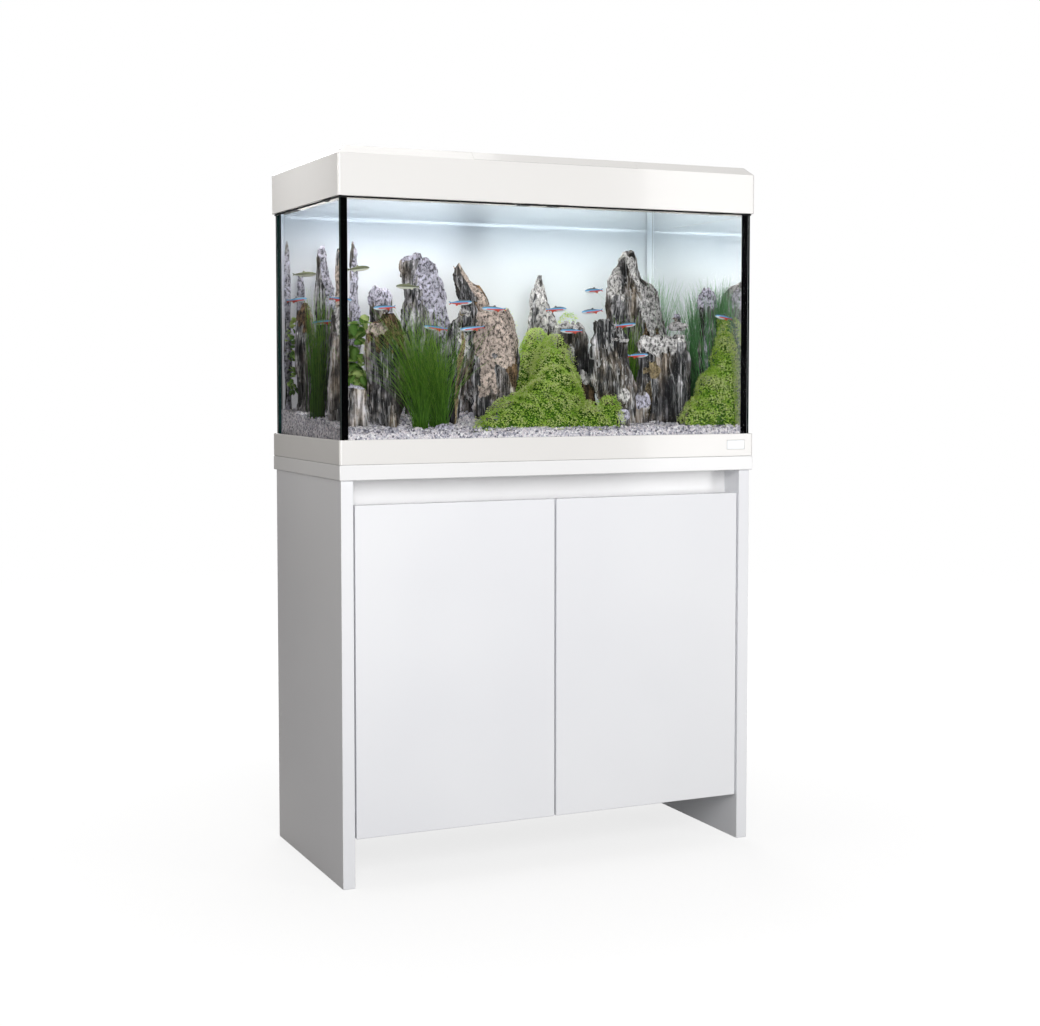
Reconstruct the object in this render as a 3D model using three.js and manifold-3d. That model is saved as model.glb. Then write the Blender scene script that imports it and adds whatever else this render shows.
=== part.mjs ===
// Aquarium on a two-door cabinet, built as separate pieces.
// Millimetres, +Z up, front towards -Y, origin on the floor under the middle.
import * as THREE from 'three';
import { mergeVertices } from 'three/addons/utils/BufferGeometryUtils.js';
import Module from 'manifold-3d';

const wasm = await Module();
wasm.setup();

// ---------- driving sizes ----------
const GAP = 0.3;               // clearance between pieces that rest on or fit round each other

const TANK_WIDTH = 800;        // outside of the glass
const TANK_DEPTH = 376;
const GLASS_HEIGHT = 452.4;
const GLASS = 6;               // wall panes
const FLOOR_GLASS = 8;
const SEAM_WIDTH = 8;          // silicone fillet inside each upright corner
const SEAM_BED = 2;            // silicone between a side pane's end and the front or back pane
const BRACE_WIDTH = 60;
const FILM = 1;                // background film
const FILM_MARGIN = 2;

const FRAME_WALL = 6;          // plastic outside the glass, in the base frame and the hood
const FRAME_HEIGHT = 41.7;
const FRAME_LEDGE = 5;         // thickness of the ledge under the glass
const LEDGE_REACH = 28;        // width of that ledge
const BADGE = { width: 38, height: 17, depth: 1.4, fromRight: 18, fromTop: 12 };
const CORNER_RADIUS = 4;

const HOOD_HEIGHT = 84.7;
const HOOD_OVERLAP = 7.7;      // how far the hood comes down over the glass
const HOOD_WALL = 3;
const HOOD_CHAMFER = 14;
const HOOD_LEDGE = { thickness: 4, reach: 22 };
const GASKET = { height: 3, width: 1.8 };
const FLAP_WIDTH = 320;
const FLAP_HINGE_Y = 20;
const BARREL_RADIUS = 3.5;
const PIN = { radius: 1.5, length: 26 };
const CABLE_NOTCH = { width: 80, height: 14, x: 290 };
const GROMMET = { bore: 2.5, radius: 6, flange: 9, length: 6.4, x: -300, z: 36 };
const LIGHT = { length: 700, width: 64, height: 18, y: 92, drop: 26, wall: 2, lens: 3 };

const CABINET_HEIGHT = 725;    // floor to the top of the cabinet top
const TOP_THICKNESS = 26;
const SIDE_OVERHANG = 4;       // cabinet top beyond the side panels
const FRONT_OVERHANG = 6;
const SIDE_THICKNESS = 22;
const PANEL = 18;              // doors, floor, divider and rail
const BACK_PANEL = 8;
const BACK_INSET = 4;          // back panel's outer face in from the side panels' rear edges
const HOSE_NOTCH = { width: 110, height: 90 };
const DOOR_BOTTOM = 84;
const DOOR_TOP = 656;
const DOOR_INSET = 2;          // door front behind the side panels' front edges
const DOOR_SIDE_GAP = 3.5;
const DOOR_MEETING_GAP = 3.4;
const DOOR_BACK_GAP = 2.5;     // between a closed door and the cabinet floor's front edge
const RAIL_SETBACK = 50;       // finger channel depth
const RAIL_HEIGHT = 80;
const CUP = { radius: 17.5, depth: 11.5, wall: 1.5, flange: 21, flangeThickness: 1, fromEdge: 22 };
const CUP_MARGIN = 90;         // hinge centres from the door's top and bottom
const ARM_HEIGHT = 14;
const PLATE = { length: 44, height: 46, thickness: 2 };
const BUMPER = { radius: 4, thickness: 2, fromEdge: 20 };

const GRAVEL_FRONT = 40;       // gravel depth at the front glass
const GRAVEL_BACK = 74;        // gravel depth at the back glass

// ---------- sizes that follow ----------
const outerWidth = TANK_WIDTH + 2 * FRAME_WALL;
const outerDepth = TANK_DEPTH + 2 * FRAME_WALL;
const cabinetWidth = outerWidth - 2 * SIDE_OVERHANG;
const cabinetFront = -outerDepth / 2 + FRONT_OVERHANG;
const cabinetBack = -cabinetFront;
const insideX = cabinetWidth / 2 - SIDE_THICKNESS;
const underTop = CABINET_HEIGHT - TOP_THICKNESS;
const doorFront = cabinetFront + DOOR_INSET;
const doorBack = doorFront + PANEL;
const floorTop = DOOR_BOTTOM + PANEL;
const railFront = cabinetFront + RAIL_SETBACK;
const backPanelBack = cabinetBack - BACK_INSET;
const backPanelFront = backPanelBack - BACK_PANEL;

// in the tank's own frame, which stands on the cabinet top
const glassBottom = GAP + FRAME_LEDGE + GAP;
const glassTop = glassBottom + GLASS_HEIGHT;
const frameTop = GAP + FRAME_HEIGHT;
const floorGlassTop = glassBottom + FLOOR_GLASS;
const innerX = TANK_WIDTH / 2 - GLASS;
const innerY = TANK_DEPTH / 2 - GLASS;
const sidePaneY = innerY - SEAM_BED - GAP;
const hoodBottom = glassTop - HOOD_OVERLAP;
const seamTop = glassTop - FLOOR_GLASS;
const gravelBottom = floorGlassTop + GAP;

// ---------- materials ----------
const white = (name, color, roughness) =>
  Object.assign(new THREE.MeshStandardMaterial({ color, roughness, metalness: 0 }), { name });
const satinBoard = white('satin_board', 0xf1f2f4, 0.45);
const glossBoard = white('gloss_board', 0xf4f3f2, 0.18);
const glossPlastic = white('gloss_plastic', 0xf3f2f0, 0.2);
const hardboard = white('hardboard', 0xe6e5e2, 0.7);
const greyPrint = white('badge_plate', 0xc9ccd0, 0.35);
const silicone = white('silicone', 0x0b0d0e, 0.45);
const rubber = white('rubber', 0x1a1b1c, 0.8);
const gravelMaterial = white('gravel', 0xb9b8c2, 0.95);
const slate = white('slate', 0x4d4a4a, 0.9);
const leaf = white('leaf', 0x86b82c, 0.8);
const grass = white('grass', 0x4f8a33, 0.8);
const filmMaterial = white('background_film', 0xd3e6f3, 0.6);
const lensMaterial = white('diffuser', 0xf7fbff, 0.4);
const steel = new THREE.MeshStandardMaterial({ color: 0xc4c6c8, roughness: 0.3, metalness: 1 });
const aluminium = new THREE.MeshStandardMaterial({ color: 0xd5d7da, roughness: 0.35, metalness: 1 });
const glass = new THREE.MeshStandardMaterial({
  color: 0xdff2ee, roughness: 0.03, metalness: 0, transparent: true, opacity: 0.3,
});

// ---------- shape helpers ----------
function piece(name, geometry, material, x = 0, y = 0, z = 0) {
  const mesh = new THREE.Mesh(geometry, material);
  mesh.name = name;
  mesh.position.set(x, y, z);
  return mesh;
}

// a flat board or pane that fills the given spans
function board(name, material, [x0, x1], [y0, y1], [z0, z1]) {
  const geometry = new THREE.BoxGeometry(x1 - x0, y1 - y0, z1 - z0);
  return piece(name, geometry, material, (x0 + x1) / 2, (y0 + y1) / 2, (z0 + z1) / 2);
}

function block([x0, x1], [y0, y1], [z0, z1]) {
  return new THREE.BoxGeometry(x1 - x0, y1 - y0, z1 - z0)
    .translate((x0 + x1) / 2, (y0 + y1) / 2, (z0 + z1) / 2);
}

function toSolid(geometry) {
  const bare = geometry.clone();
  bare.deleteAttribute('normal');
  bare.deleteAttribute('uv');
  const merged = mergeVertices(bare, 1e-4);
  return new wasm.Manifold(new wasm.Mesh({
    numProp: 3,
    vertProperties: Float32Array.from(merged.attributes.position.array),
    triVerts: Uint32Array.from(merged.index.array),
  }));
}

function toGeometry(solid) {
  const mesh = solid.getMesh();
  const geometry = new THREE.BufferGeometry();
  geometry.setAttribute('position', new THREE.BufferAttribute(mesh.vertProperties, 3));
  geometry.setIndex(new THREE.BufferAttribute(mesh.triVerts, 1));
  geometry.computeVertexNormals();
  return geometry;
}

const cut = (body, ...tools) => tools.reduce((solid, tool) => solid.subtract(toSolid(tool)), body);
const join = (body, ...more) => more.reduce((solid, extra) => solid.add(toSolid(extra)), body);

// a closed skin over a stack of rings, lowest first, each counter-clockwise from above
function stackRings(rings) {
  const count = rings[0].length;
  const points = rings.flat();
  const centre = (ring) => ring.reduce((sum, p) => sum.add(p), new THREE.Vector3()).divideScalar(count);
  points.push(centre(rings[0]), centre(rings.at(-1)));
  const lowCentre = points.length - 2;
  const highCentre = points.length - 1;
  const lastRing = (rings.length - 1) * count;
  const index = [];
  for (let i = 0; i < count; i++) {
    const next = (i + 1) % count;
    for (let r = 0; r < lastRing; r += count) {
      index.push(r + i, r + next, r + count + next, r + i, r + count + next, r + count + i);
    }
    index.push(lowCentre, next, i, highCentre, lastRing + i, lastRing + next);
  }
  const geometry = new THREE.BufferGeometry().setFromPoints(points);
  geometry.setIndex(index);
  geometry.computeVertexNormals();
  return geometry;
}

function roundedRing(halfX, halfY, radius, z, steps = 4) {
  const ring = [];
  for (let corner = 0; corner < 4; corner++) {
    const signX = corner === 0 || corner === 3 ? 1 : -1;
    const signY = corner < 2 ? 1 : -1;
    for (let step = 0; step <= steps; step++) {
      const angle = (corner + step / steps) * Math.PI / 2;
      ring.push(new THREE.Vector3(
        signX * (halfX - radius) + radius * Math.cos(angle),
        signY * (halfY - radius) + radius * Math.sin(angle),
        z,
      ));
    }
  }
  return ring;
}

// a profile drawn in Y and Z, extruded along X
function alongX(shape, x0, x1, curveSegments = 8) {
  const geometry = new THREE.ExtrudeGeometry(shape, {
    depth: x1 - x0, bevelEnabled: false, curveSegments,
  });
  const turn = new THREE.Matrix4().makeBasis(
    new THREE.Vector3(0, 1, 0), new THREE.Vector3(0, 0, 1), new THREE.Vector3(1, 0, 0),
  );
  return geometry.applyMatrix4(turn).translate(x0, 0, 0);
}

// a profile drawn in X and Y, extruded up Z
function upZ(shape, z0, z1) {
  return new THREE.ExtrudeGeometry(shape, { depth: z1 - z0, bevelEnabled: false, curveSegments: 4 })
    .translate(0, 0, z0);
}

function outline(points) {
  return new THREE.Shape(points.map(([x, y]) => new THREE.Vector2(x, y)));
}

function rodAlongX(radius, x0, x1, y, z, sides = 16) {
  return new THREE.CylinderGeometry(radius, radius, x1 - x0, sides)
    .rotateZ(Math.PI / 2).translate((x0 + x1) / 2, y, z);
}

function rodAlongY(radius, y0, y1, x, z, sides = 24) {
  return new THREE.CylinderGeometry(radius, radius, y1 - y0, sides).translate(x, (y0 + y1) / 2, z);
}

// ---------- cabinet ----------
function cabinetCase() {
  const group = new THREE.Group();
  const depth = [cabinetFront, cabinetBack];
  const inside = [-insideX + GAP, insideX - GAP];
  for (const [name, side] of [['left_side_panel', -1], ['right_side_panel', 1]]) {
    const faces = [side * insideX, side * cabinetWidth / 2].sort((a, b) => a - b);
    group.add(board(name, satinBoard, faces, depth, [0, underTop - GAP]));
  }
  group.add(
    board('cabinet_top', glossBoard, [-outerWidth / 2, outerWidth / 2],
      [-outerDepth / 2, outerDepth / 2], [underTop, CABINET_HEIGHT]),
    board('cabinet_floor', satinBoard, inside,
      [doorBack + DOOR_BACK_GAP, cabinetBack], [DOOR_BOTTOM, floorTop]),
    board('front_rail', glossBoard, inside,
      [railFront, railFront + PANEL], [underTop - RAIL_HEIGHT, underTop - GAP]),
    board('centre_divider', satinBoard, [-PANEL / 2, PANEL / 2],
      [railFront + PANEL + GAP, backPanelFront - GAP], [floorTop + GAP, underTop - GAP]),
    backPanel(inside),
  );
  return group;
}

// the back panel stops short of both upper corners, where hoses and leads pass out
function backPanel([x0, x1]) {
  const height = [floorTop + GAP, underTop - GAP];
  const depth = [backPanelFront, backPanelBack];
  const notches = [-1, 1].map((side) => {
    const edges = [side * (insideX - HOSE_NOTCH.width), side * (insideX + 1)].sort((a, b) => a - b);
    return block(edges, [depth[0] - 1, depth[1] + 1], [underTop - HOSE_NOTCH.height, underTop + 1]);
  });
  const solid = cut(toSolid(block([x0, x1], depth, height)), ...notches);
  return piece('back_panel', toGeometry(solid), hardboard);
}

const hingeHeights = { lower: DOOR_BOTTOM + CUP_MARGIN, upper: DOOR_TOP - CUP_MARGIN };

// side is -1 for the left door and 1 for the right one
function door(name, side) {
  const outerEdge = side * (insideX - DOOR_SIDE_GAP);
  const edges = [outerEdge, side * DOOR_MEETING_GAP / 2].sort((a, b) => a - b);
  const cupX = outerEdge - side * CUP.fromEdge;
  const pockets = Object.values(hingeHeights).map((z) =>
    rodAlongY(CUP.radius + GAP, doorBack - CUP.depth - GAP, doorBack + 1, cupX, z));
  const solid = cut(toSolid(block(edges, [doorFront, doorBack], [DOOR_BOTTOM, DOOR_TOP])), ...pockets);
  return piece(name, toGeometry(solid), satinBoard);
}

function hingeCup(name, side, z) {
  const cupX = side * (insideX - DOOR_SIDE_GAP - CUP.fromEdge);
  const inner = CUP.radius - CUP.wall;
  const rim = GAP + CUP.flangeThickness;
  const profile = [
    [0, -CUP.depth], [CUP.radius, -CUP.depth], [CUP.radius, GAP], [CUP.flange, GAP],
    [CUP.flange, rim], [inner, rim], [inner, CUP.wall - CUP.depth], [0, CUP.wall - CUP.depth],
  ];
  const geometry = new THREE.LatheGeometry(profile.map(([r, y]) => new THREE.Vector2(r, y)), 24);
  return piece(name, geometry, steel, cupX, doorBack, z);
}

// a cranked arm on a plate against the side panel; its nose ends just behind the cup
function hingeArm(name, side, z) {
  const nose = doorBack + GAP + CUP.flangeThickness + 1;
  const reach = DOOR_SIDE_GAP + CUP.fromEdge + 8;
  const across = (inset) => side * (insideX - inset);
  const arm = outline([
    [across(GAP), nose + 14], [across(10), nose], [across(reach), nose], [across(reach), nose + 7],
    [across(18), nose + 15], [across(14), nose + 22 + PLATE.length / 2],
    [across(GAP), nose + 22 + PLATE.length / 2],
  ]);
  const plateY = nose + 22;
  const plateX = [across(GAP), across(GAP + PLATE.thickness)].sort((a, b) => a - b);
  const plate = block(plateX, [plateY - 6, plateY - 6 + PLATE.length], [-PLATE.height / 2, PLATE.height / 2]);
  const solid = join(toSolid(upZ(arm, -ARM_HEIGHT / 2, ARM_HEIGHT / 2)), plate);
  return piece(name, toGeometry(solid), steel, 0, 0, z);
}

function doorsAndHinges() {
  const group = new THREE.Group();
  for (const [word, side] of [['left', -1], ['right', 1]]) {
    group.add(door(`door_${word}`, side));
    for (const [level, z] of Object.entries(hingeHeights)) {
      group.add(hingeCup(`hinge_cup_${word}_${level}`, side, z));
      group.add(hingeArm(`hinge_arm_${word}_${level}`, side, z));
    }
    const bumperX = side * (DOOR_MEETING_GAP / 2 + BUMPER.fromEdge);
    const bumper = new THREE.CylinderGeometry(BUMPER.radius, BUMPER.radius, BUMPER.thickness, 16);
    group.add(piece(`door_bumper_${word}`, bumper, rubber,
      bumperX, doorBack + GAP + BUMPER.thickness / 2, DOOR_BOTTOM + PANEL / 2));
  }
  return group;
}

// ---------- tank, standing on the cabinet top ----------
function baseFrame() {
  const rings = [
    roundedRing(outerWidth / 2, outerDepth / 2, CORNER_RADIUS, GAP),
    roundedRing(outerWidth / 2, outerDepth / 2, CORNER_RADIUS, frameTop),
  ];
  const ledgeX = TANK_WIDTH / 2 - LEDGE_REACH;
  const ledgeY = TANK_DEPTH / 2 - LEDGE_REACH;
  const glassPocket = block([-TANK_WIDTH / 2 - GAP, TANK_WIDTH / 2 + GAP],
    [-TANK_DEPTH / 2 - GAP, TANK_DEPTH / 2 + GAP], [GAP + FRAME_LEDGE, frameTop + 1]);
  const window = block([-ledgeX, ledgeX], [-ledgeY, ledgeY], [-1, frameTop]);
  const badge = badgeSpans(0);
  const badgePocket = block(badge.x, [-outerDepth / 2 - 1, -outerDepth / 2 + BADGE.depth], badge.z);
  const solid = cut(toSolid(stackRings(rings)), glassPocket, window, badgePocket);
  return piece('base_frame', toGeometry(solid), glossPlastic);
}

function badgeSpans(clearance) {
  const right = outerWidth / 2 - BADGE.fromRight;
  const top = frameTop - BADGE.fromTop;
  return {
    x: [right - BADGE.width + clearance, right - clearance],
    z: [top - BADGE.height + clearance, top - clearance],
  };
}

function badgePlate() {
  const badge = badgeSpans(GAP);
  return board('badge_plate', greyPrint, badge.x,
    [-outerDepth / 2, -outerDepth / 2 + BADGE.depth - GAP], badge.z);
}

function panes() {
  const x = TANK_WIDTH / 2;
  const y = TANK_DEPTH / 2;
  const height = [glassBottom, glassTop];
  const sides = [-sidePaneY, sidePaneY];
  return [
    board('glass_front', glass, [-x, x], [-y, -innerY], height),
    board('glass_back', glass, [-x, x], [innerY, y], height),
    board('glass_left', glass, [-x, -innerX], sides, height),
    board('glass_right', glass, [innerX, x], sides, height),
    board('glass_bottom', glass, [-innerX + GAP, innerX - GAP],
      [-innerY + GAP, innerY - GAP], [glassBottom, floorGlassTop]),
    board('cross_brace', glass, [-BRACE_WIDTH / 2, BRACE_WIDTH / 2],
      [-innerY + GAP, innerY - GAP], [glassTop - GLASS - GAP, glassTop - GAP]),
  ];
}

// silicone beds a side pane's end and fills the corner inside it
function seam(name, signX, signY) {
  const point = (inX, inY) => [signX * (innerX - inX), signY * (innerY - inY)];
  const corner = outline([
    [signX * TANK_WIDTH / 2, signY * (innerY - GAP)], point(SEAM_WIDTH, GAP), point(GAP, SEAM_WIDTH),
    point(GAP, SEAM_BED), [signX * TANK_WIDTH / 2, signY * (innerY - SEAM_BED)],
  ]);
  return piece(name, upZ(corner, gravelBottom, seamTop), silicone);
}

function seams() {
  return [
    seam('seam_front_left', -1, -1), seam('seam_front_right', 1, -1),
    seam('seam_back_left', -1, 1), seam('seam_back_right', 1, 1),
  ];
}

function backgroundFilm() {
  const x = TANK_WIDTH / 2 - FILM_MARGIN;
  const y = TANK_DEPTH / 2 + GAP;
  return board('background_film', filmMaterial, [-x, x], [y, y + FILM],
    [frameTop + GAP, hoodBottom - GAP - GASKET.height - GAP]);
}

function hoodGasket() {
  const high = hoodBottom - GAP;
  const ring = [high - GASKET.height, high].map((z) => roundedRing(
    TANK_WIDTH / 2 + GAP + GASKET.width, TANK_DEPTH / 2 + GAP + GASKET.width, GASKET.width, z));
  const hole = block([-TANK_WIDTH / 2 - GAP, TANK_WIDTH / 2 + GAP],
    [-TANK_DEPTH / 2 - GAP, TANK_DEPTH / 2 + GAP], [high - GASKET.height - 1, high + 1]);
  return piece('hood_gasket', toGeometry(cut(toSolid(stackRings(ring)), hole)), silicone);
}

// ---------- gravel, rocks and plants ----------
// the gravel rises from the front glass to the back glass
const gravelTopAt = (y) =>
  gravelBottom + GRAVEL_FRONT + (GRAVEL_BACK - GRAVEL_FRONT) * (y + innerY) / (2 * innerY);

function gravelBed() {
  const x = innerX - GAP;
  const y = innerY - GAP;
  const corner = SEAM_WIDTH + 2 * GAP;
  const floorShape = outline([
    [-x + corner, -y], [x - corner, -y], [x, -y + corner], [x, y - corner],
    [x - corner, y], [-x + corner, y], [-x, y - corner], [-x, -y + corner],
  ]);
  const prism = toSolid(upZ(floorShape, gravelBottom, gravelBottom + GRAVEL_BACK));
  const slope = outline([
    [-y - 1, gravelBottom - 1], [y + 1, gravelBottom - 1],
    [y + 1, gravelTopAt(y + 1)], [-y - 1, gravelTopAt(-y - 1)],
  ]);
  return piece('gravel_bed', toGeometry(prism.intersect(toSolid(alongX(slope, -x - 1, x + 1)))), gravelMaterial);
}

// all that is below the gravel's surface, so that what stands on it follows its slope
function belowGravel() {
  const slope = outline([
    [-innerY - 1, -1], [innerY + 1, -1],
    [innerY + 1, gravelTopAt(innerY + 1) + GAP], [-innerY - 1, gravelTopAt(-innerY - 1) + GAP],
  ]);
  return alongX(slope, -innerX - 1, innerX + 1);
}

// The rockwork was laid out in a tank of this inside size and follows the tank it stands in.
const LAYOUT = { width: 788, depth: 364, height: 444 };
const layoutX = 2 * innerX / LAYOUT.width;
const layoutY = 2 * innerY / LAYOUT.depth;
const layoutZ = (glassTop - floorGlassTop) / LAYOUT.height;

// x and y of the foot's middle, width, depth, height above the floor glass, and how far the top leans in x
const ROCKS = [
  { name: 'rock_brown_cap', x: -284, y: -104, width: 102, depth: 70, height: 247, lean: 4 },
  { name: 'rock_pale_shoulder', x: -160, y: 50, width: 96, depth: 74, height: 364, lean: -8 },
  { name: 'rock_small_pale', x: -226, y: 112, width: 56, depth: 50, height: 305, lean: 3 },
  { name: 'rock_slanted_peak', x: -42, y: 92, width: 84, depth: 60, height: 349, lean: -14 },
  { name: 'rock_gold_streak', x: -143, y: -78, width: 72, depth: 62, height: 258, lean: 6 },
  { name: 'rock_broad_brown', x: -42, y: -26, width: 98, depth: 80, height: 262, lean: 4 },
  { name: 'rock_back_peak', x: 106, y: 104, width: 84, depth: 60, height: 332, lean: 2 },
  { name: 'rock_pale_block', x: 112, y: -36, width: 74, depth: 56, height: 239, lean: 0 },
  { name: 'rock_leaning_slate', x: 156, y: -112, width: 88, depth: 48, height: 242, lean: -16 },
  { name: 'rock_tall_peak', x: 278, y: 20, width: 146, depth: 92, height: 379, lean: -22 },
  { name: 'rock_white_cap', x: 270, y: -104, width: 120, depth: 62, height: 214, lean: 0 },
  { name: 'rock_right_slab', x: 358, y: -108, width: 50, depth: 38, height: 304, lean: 2 },
  { name: 'rock_left_front', x: -353, y: -28, width: 36, depth: 80, height: 262, lean: 2 },
  { name: 'rock_left_brown', x: -367, y: 128, width: 44, depth: 60, height: 272, lean: 2 },
  { name: 'rock_left_back', x: -322, y: 150, width: 40, depth: 44, height: 378, lean: 2 },
];

// relative girth of a rock at each share of its height, foot first
const ROCK_GIRTH = [[0, 1], [0.4, 0.96], [0.75, 0.76], [1, 0.3]];
const MOUND_GIRTH = [[0, 1], [0.5, 0.9], [0.85, 0.6], [1, 0.18]];
const TUFT_GIRTH = [[0, 0.5], [0.55, 1], [0.85, 0.9], [1, 0.4]];

// a rough upright lump, narrower with height as its girth list says, and grown by a margin all round
function lump({ x, y, width, depth, height, lean = 0 }, girths, sides, margin = 0) {
  const rings = girths.map(([share, girth], level) => {
    const ring = [];
    for (let i = 0; i < sides; i++) {
      const angle = i / sides * 2 * Math.PI;
      const rough = 1 - 0.06 * (1 + Math.sin(3 * angle + level + x));
      ring.push(new THREE.Vector3(
        layoutX * (x + lean * share) + (layoutX * width / 2 * girth * rough + margin) * Math.cos(angle),
        layoutY * y + (layoutY * depth / 2 * girth * rough + margin) * Math.sin(angle),
        floorGlassTop + (layoutZ * height + margin) * share,
      ));
    }
    return ring;
  });
  return stackRings(rings);
}

const ROCK_SIDES = 9;
const PLANT_SIDES = 16;
const PLANT_CLEARANCE = 2;     // between a plant and the rocks it grows round

const PLANTS = [
  { name: 'carpet_plant_centre', x: 16, y: -86, width: 262, depth: 158, height: 206, girths: MOUND_GIRTH },
  { name: 'carpet_plant_right', x: 336, y: -156, width: 90, depth: 34, height: 196, lean: 10, girths: MOUND_GIRTH },
  { name: 'hair_grass_left', x: -226, y: -158, width: 68, depth: 30, height: 246, girths: TUFT_GIRTH },
  { name: 'hair_grass_right', x: 362, y: -52, width: 48, depth: 36, height: 306, girths: TUFT_GIRTH },
];

function rock(spec) {
  const solid = cut(toSolid(lump(spec, ROCK_GIRTH, ROCK_SIDES)), belowGravel());
  return piece(spec.name, toGeometry(solid), slate);
}

// a plant is one clump that leaves room for every rock it meets
function plant(spec) {
  const rocks = ROCKS.map((stone) => lump(stone, ROCK_GIRTH, ROCK_SIDES, PLANT_CLEARANCE));
  const solid = cut(toSolid(lump(spec, spec.girths, PLANT_SIDES)), belowGravel(), ...rocks);
  const clumps = solid.decompose().sort((a, b) => b.volume() - a.volume());
  return piece(spec.name, toGeometry(clumps[0]), spec.girths === TUFT_GIRTH ? grass : leaf);
}

function aquascape() {
  return [gravelBed(), ...ROCKS.map(rock), ...PLANTS.map(plant)];
}

// ---------- hood, in a frame whose zero is its lower edge ----------
const hoodX = outerWidth / 2;
const hoodY = outerDepth / 2;
const deckUnder = HOOD_HEIGHT - HOOD_WALL;
const innerChamfer = HOOD_CHAMFER - HOOD_WALL * (2 - Math.SQRT2);
const flapX = FLAP_WIDTH / 2;
const hingeAxisZ = HOOD_HEIGHT - BARREL_RADIUS;
const pinBore = PIN.length / 2 + GAP;

function chamferedShell() {
  const outer = stackRings([
    roundedRing(hoodX, hoodY, CORNER_RADIUS, 0),
    roundedRing(hoodX, hoodY, CORNER_RADIUS, HOOD_HEIGHT - HOOD_CHAMFER),
    roundedRing(hoodX - HOOD_CHAMFER, hoodY - HOOD_CHAMFER, CORNER_RADIUS, HOOD_HEIGHT),
  ]);
  const x = hoodX - HOOD_WALL;
  const y = hoodY - HOOD_WALL;
  const radius = CORNER_RADIUS - HOOD_WALL / 2;
  const inner = stackRings([
    roundedRing(x, y, radius, -1),
    roundedRing(x, y, radius, deckUnder - innerChamfer),
    roundedRing(x - innerChamfer, y - innerChamfer, radius, deckUnder),
  ]);
  return toSolid(outer).subtract(toSolid(inner));
}

// the ledge round the inside of the hood that rests on the glass
function hoodLedge() {
  const low = HOOD_OVERLAP + GAP;
  const span = [low, low + HOOD_LEDGE.thickness];
  const ring = span.map((z) => roundedRing(hoodX - HOOD_WALL / 2, hoodY - HOOD_WALL / 2, 2, z));
  const x = TANK_WIDTH / 2 - HOOD_LEDGE.reach;
  const y = TANK_DEPTH / 2 - HOOD_LEDGE.reach;
  return toGeometry(cut(toSolid(stackRings(ring)), block([-x, x], [-y, y], [0, HOOD_HEIGHT])));
}

function hoodFrame() {
  const bosses = [-1, 1].map((side) => {
    const span = [side * flapX, side * (flapX + PIN.length / 2 + 2)].sort((a, b) => a - b);
    const reach = BARREL_RADIUS + 1.5;
    return block(span, [FLAP_HINGE_Y - reach, FLAP_HINGE_Y + reach], [hingeAxisZ - reach, deckUnder + 0.5]);
  });
  const openingBack = FLAP_HINGE_Y + BARREL_RADIUS + 2 * GAP;
  const opening = block([-flapX, flapX], [-hoodY - 1, openingBack],
    [HOOD_HEIGHT - HOOD_CHAMFER, HOOD_HEIGHT + 1]);
  const bores = rodAlongX(PIN.radius + GAP, -flapX - pinBore, flapX + pinBore, FLAP_HINGE_Y, hingeAxisZ);
  const notch = block([CABLE_NOTCH.x - CABLE_NOTCH.width / 2, CABLE_NOTCH.x + CABLE_NOTCH.width / 2],
    [TANK_DEPTH / 2 - HOOD_LEDGE.reach - 1, hoodY + 1], [-1, HOOD_OVERLAP + CABLE_NOTCH.height]);
  const grommetHole = rodAlongY(GROMMET.radius + GAP, hoodY - HOOD_WALL - 1, hoodY + 1, GROMMET.x, GROMMET.z);
  const solid = cut(join(chamferedShell(), hoodLedge(), ...bosses), opening, bores, notch, grommetHole);
  return piece('hood_frame', toGeometry(solid), glossPlastic);
}

// the flap carries the middle stretch of the deck and of the front chamfer
function feedingFlap() {
  const lip = HOOD_HEIGHT - HOOD_CHAMFER + GAP;
  const innerLipY = -hoodY + HOOD_WALL + lip - (deckUnder - innerChamfer);
  const underside = Math.sqrt(BARREL_RADIUS ** 2 - (BARREL_RADIUS - HOOD_WALL) ** 2);
  const profile = new THREE.Shape();
  profile.moveTo(-hoodY + GAP, lip);
  profile.lineTo(innerLipY, lip);
  profile.lineTo(-hoodY + HOOD_WALL + innerChamfer, deckUnder);
  profile.lineTo(FLAP_HINGE_Y - underside, deckUnder);
  const meeting = Math.PI - Math.asin((BARREL_RADIUS - HOOD_WALL) / BARREL_RADIUS);
  profile.absarc(FLAP_HINGE_Y, hingeAxisZ, BARREL_RADIUS, meeting, 2 * Math.PI + Math.PI / 2, false);
  profile.lineTo(-hoodY + HOOD_CHAMFER, HOOD_HEIGHT);
  const x = flapX - GAP;
  const bores = [[-flapX, -flapX + pinBore], [flapX - pinBore, flapX]].map(([x0, x1]) =>
    rodAlongX(PIN.radius + GAP, x0, x1, FLAP_HINGE_Y, hingeAxisZ));
  const solid = cut(toSolid(alongX(profile, -x, x, 16)), ...bores);
  return piece('feeding_flap', toGeometry(solid), glossPlastic);
}

function flapPin(name, side) {
  const pin = new THREE.CylinderGeometry(PIN.radius, PIN.radius, PIN.length, 16).rotateZ(Math.PI / 2);
  return piece(name, pin, steel, side * flapX, FLAP_HINGE_Y, hingeAxisZ);
}

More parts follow.
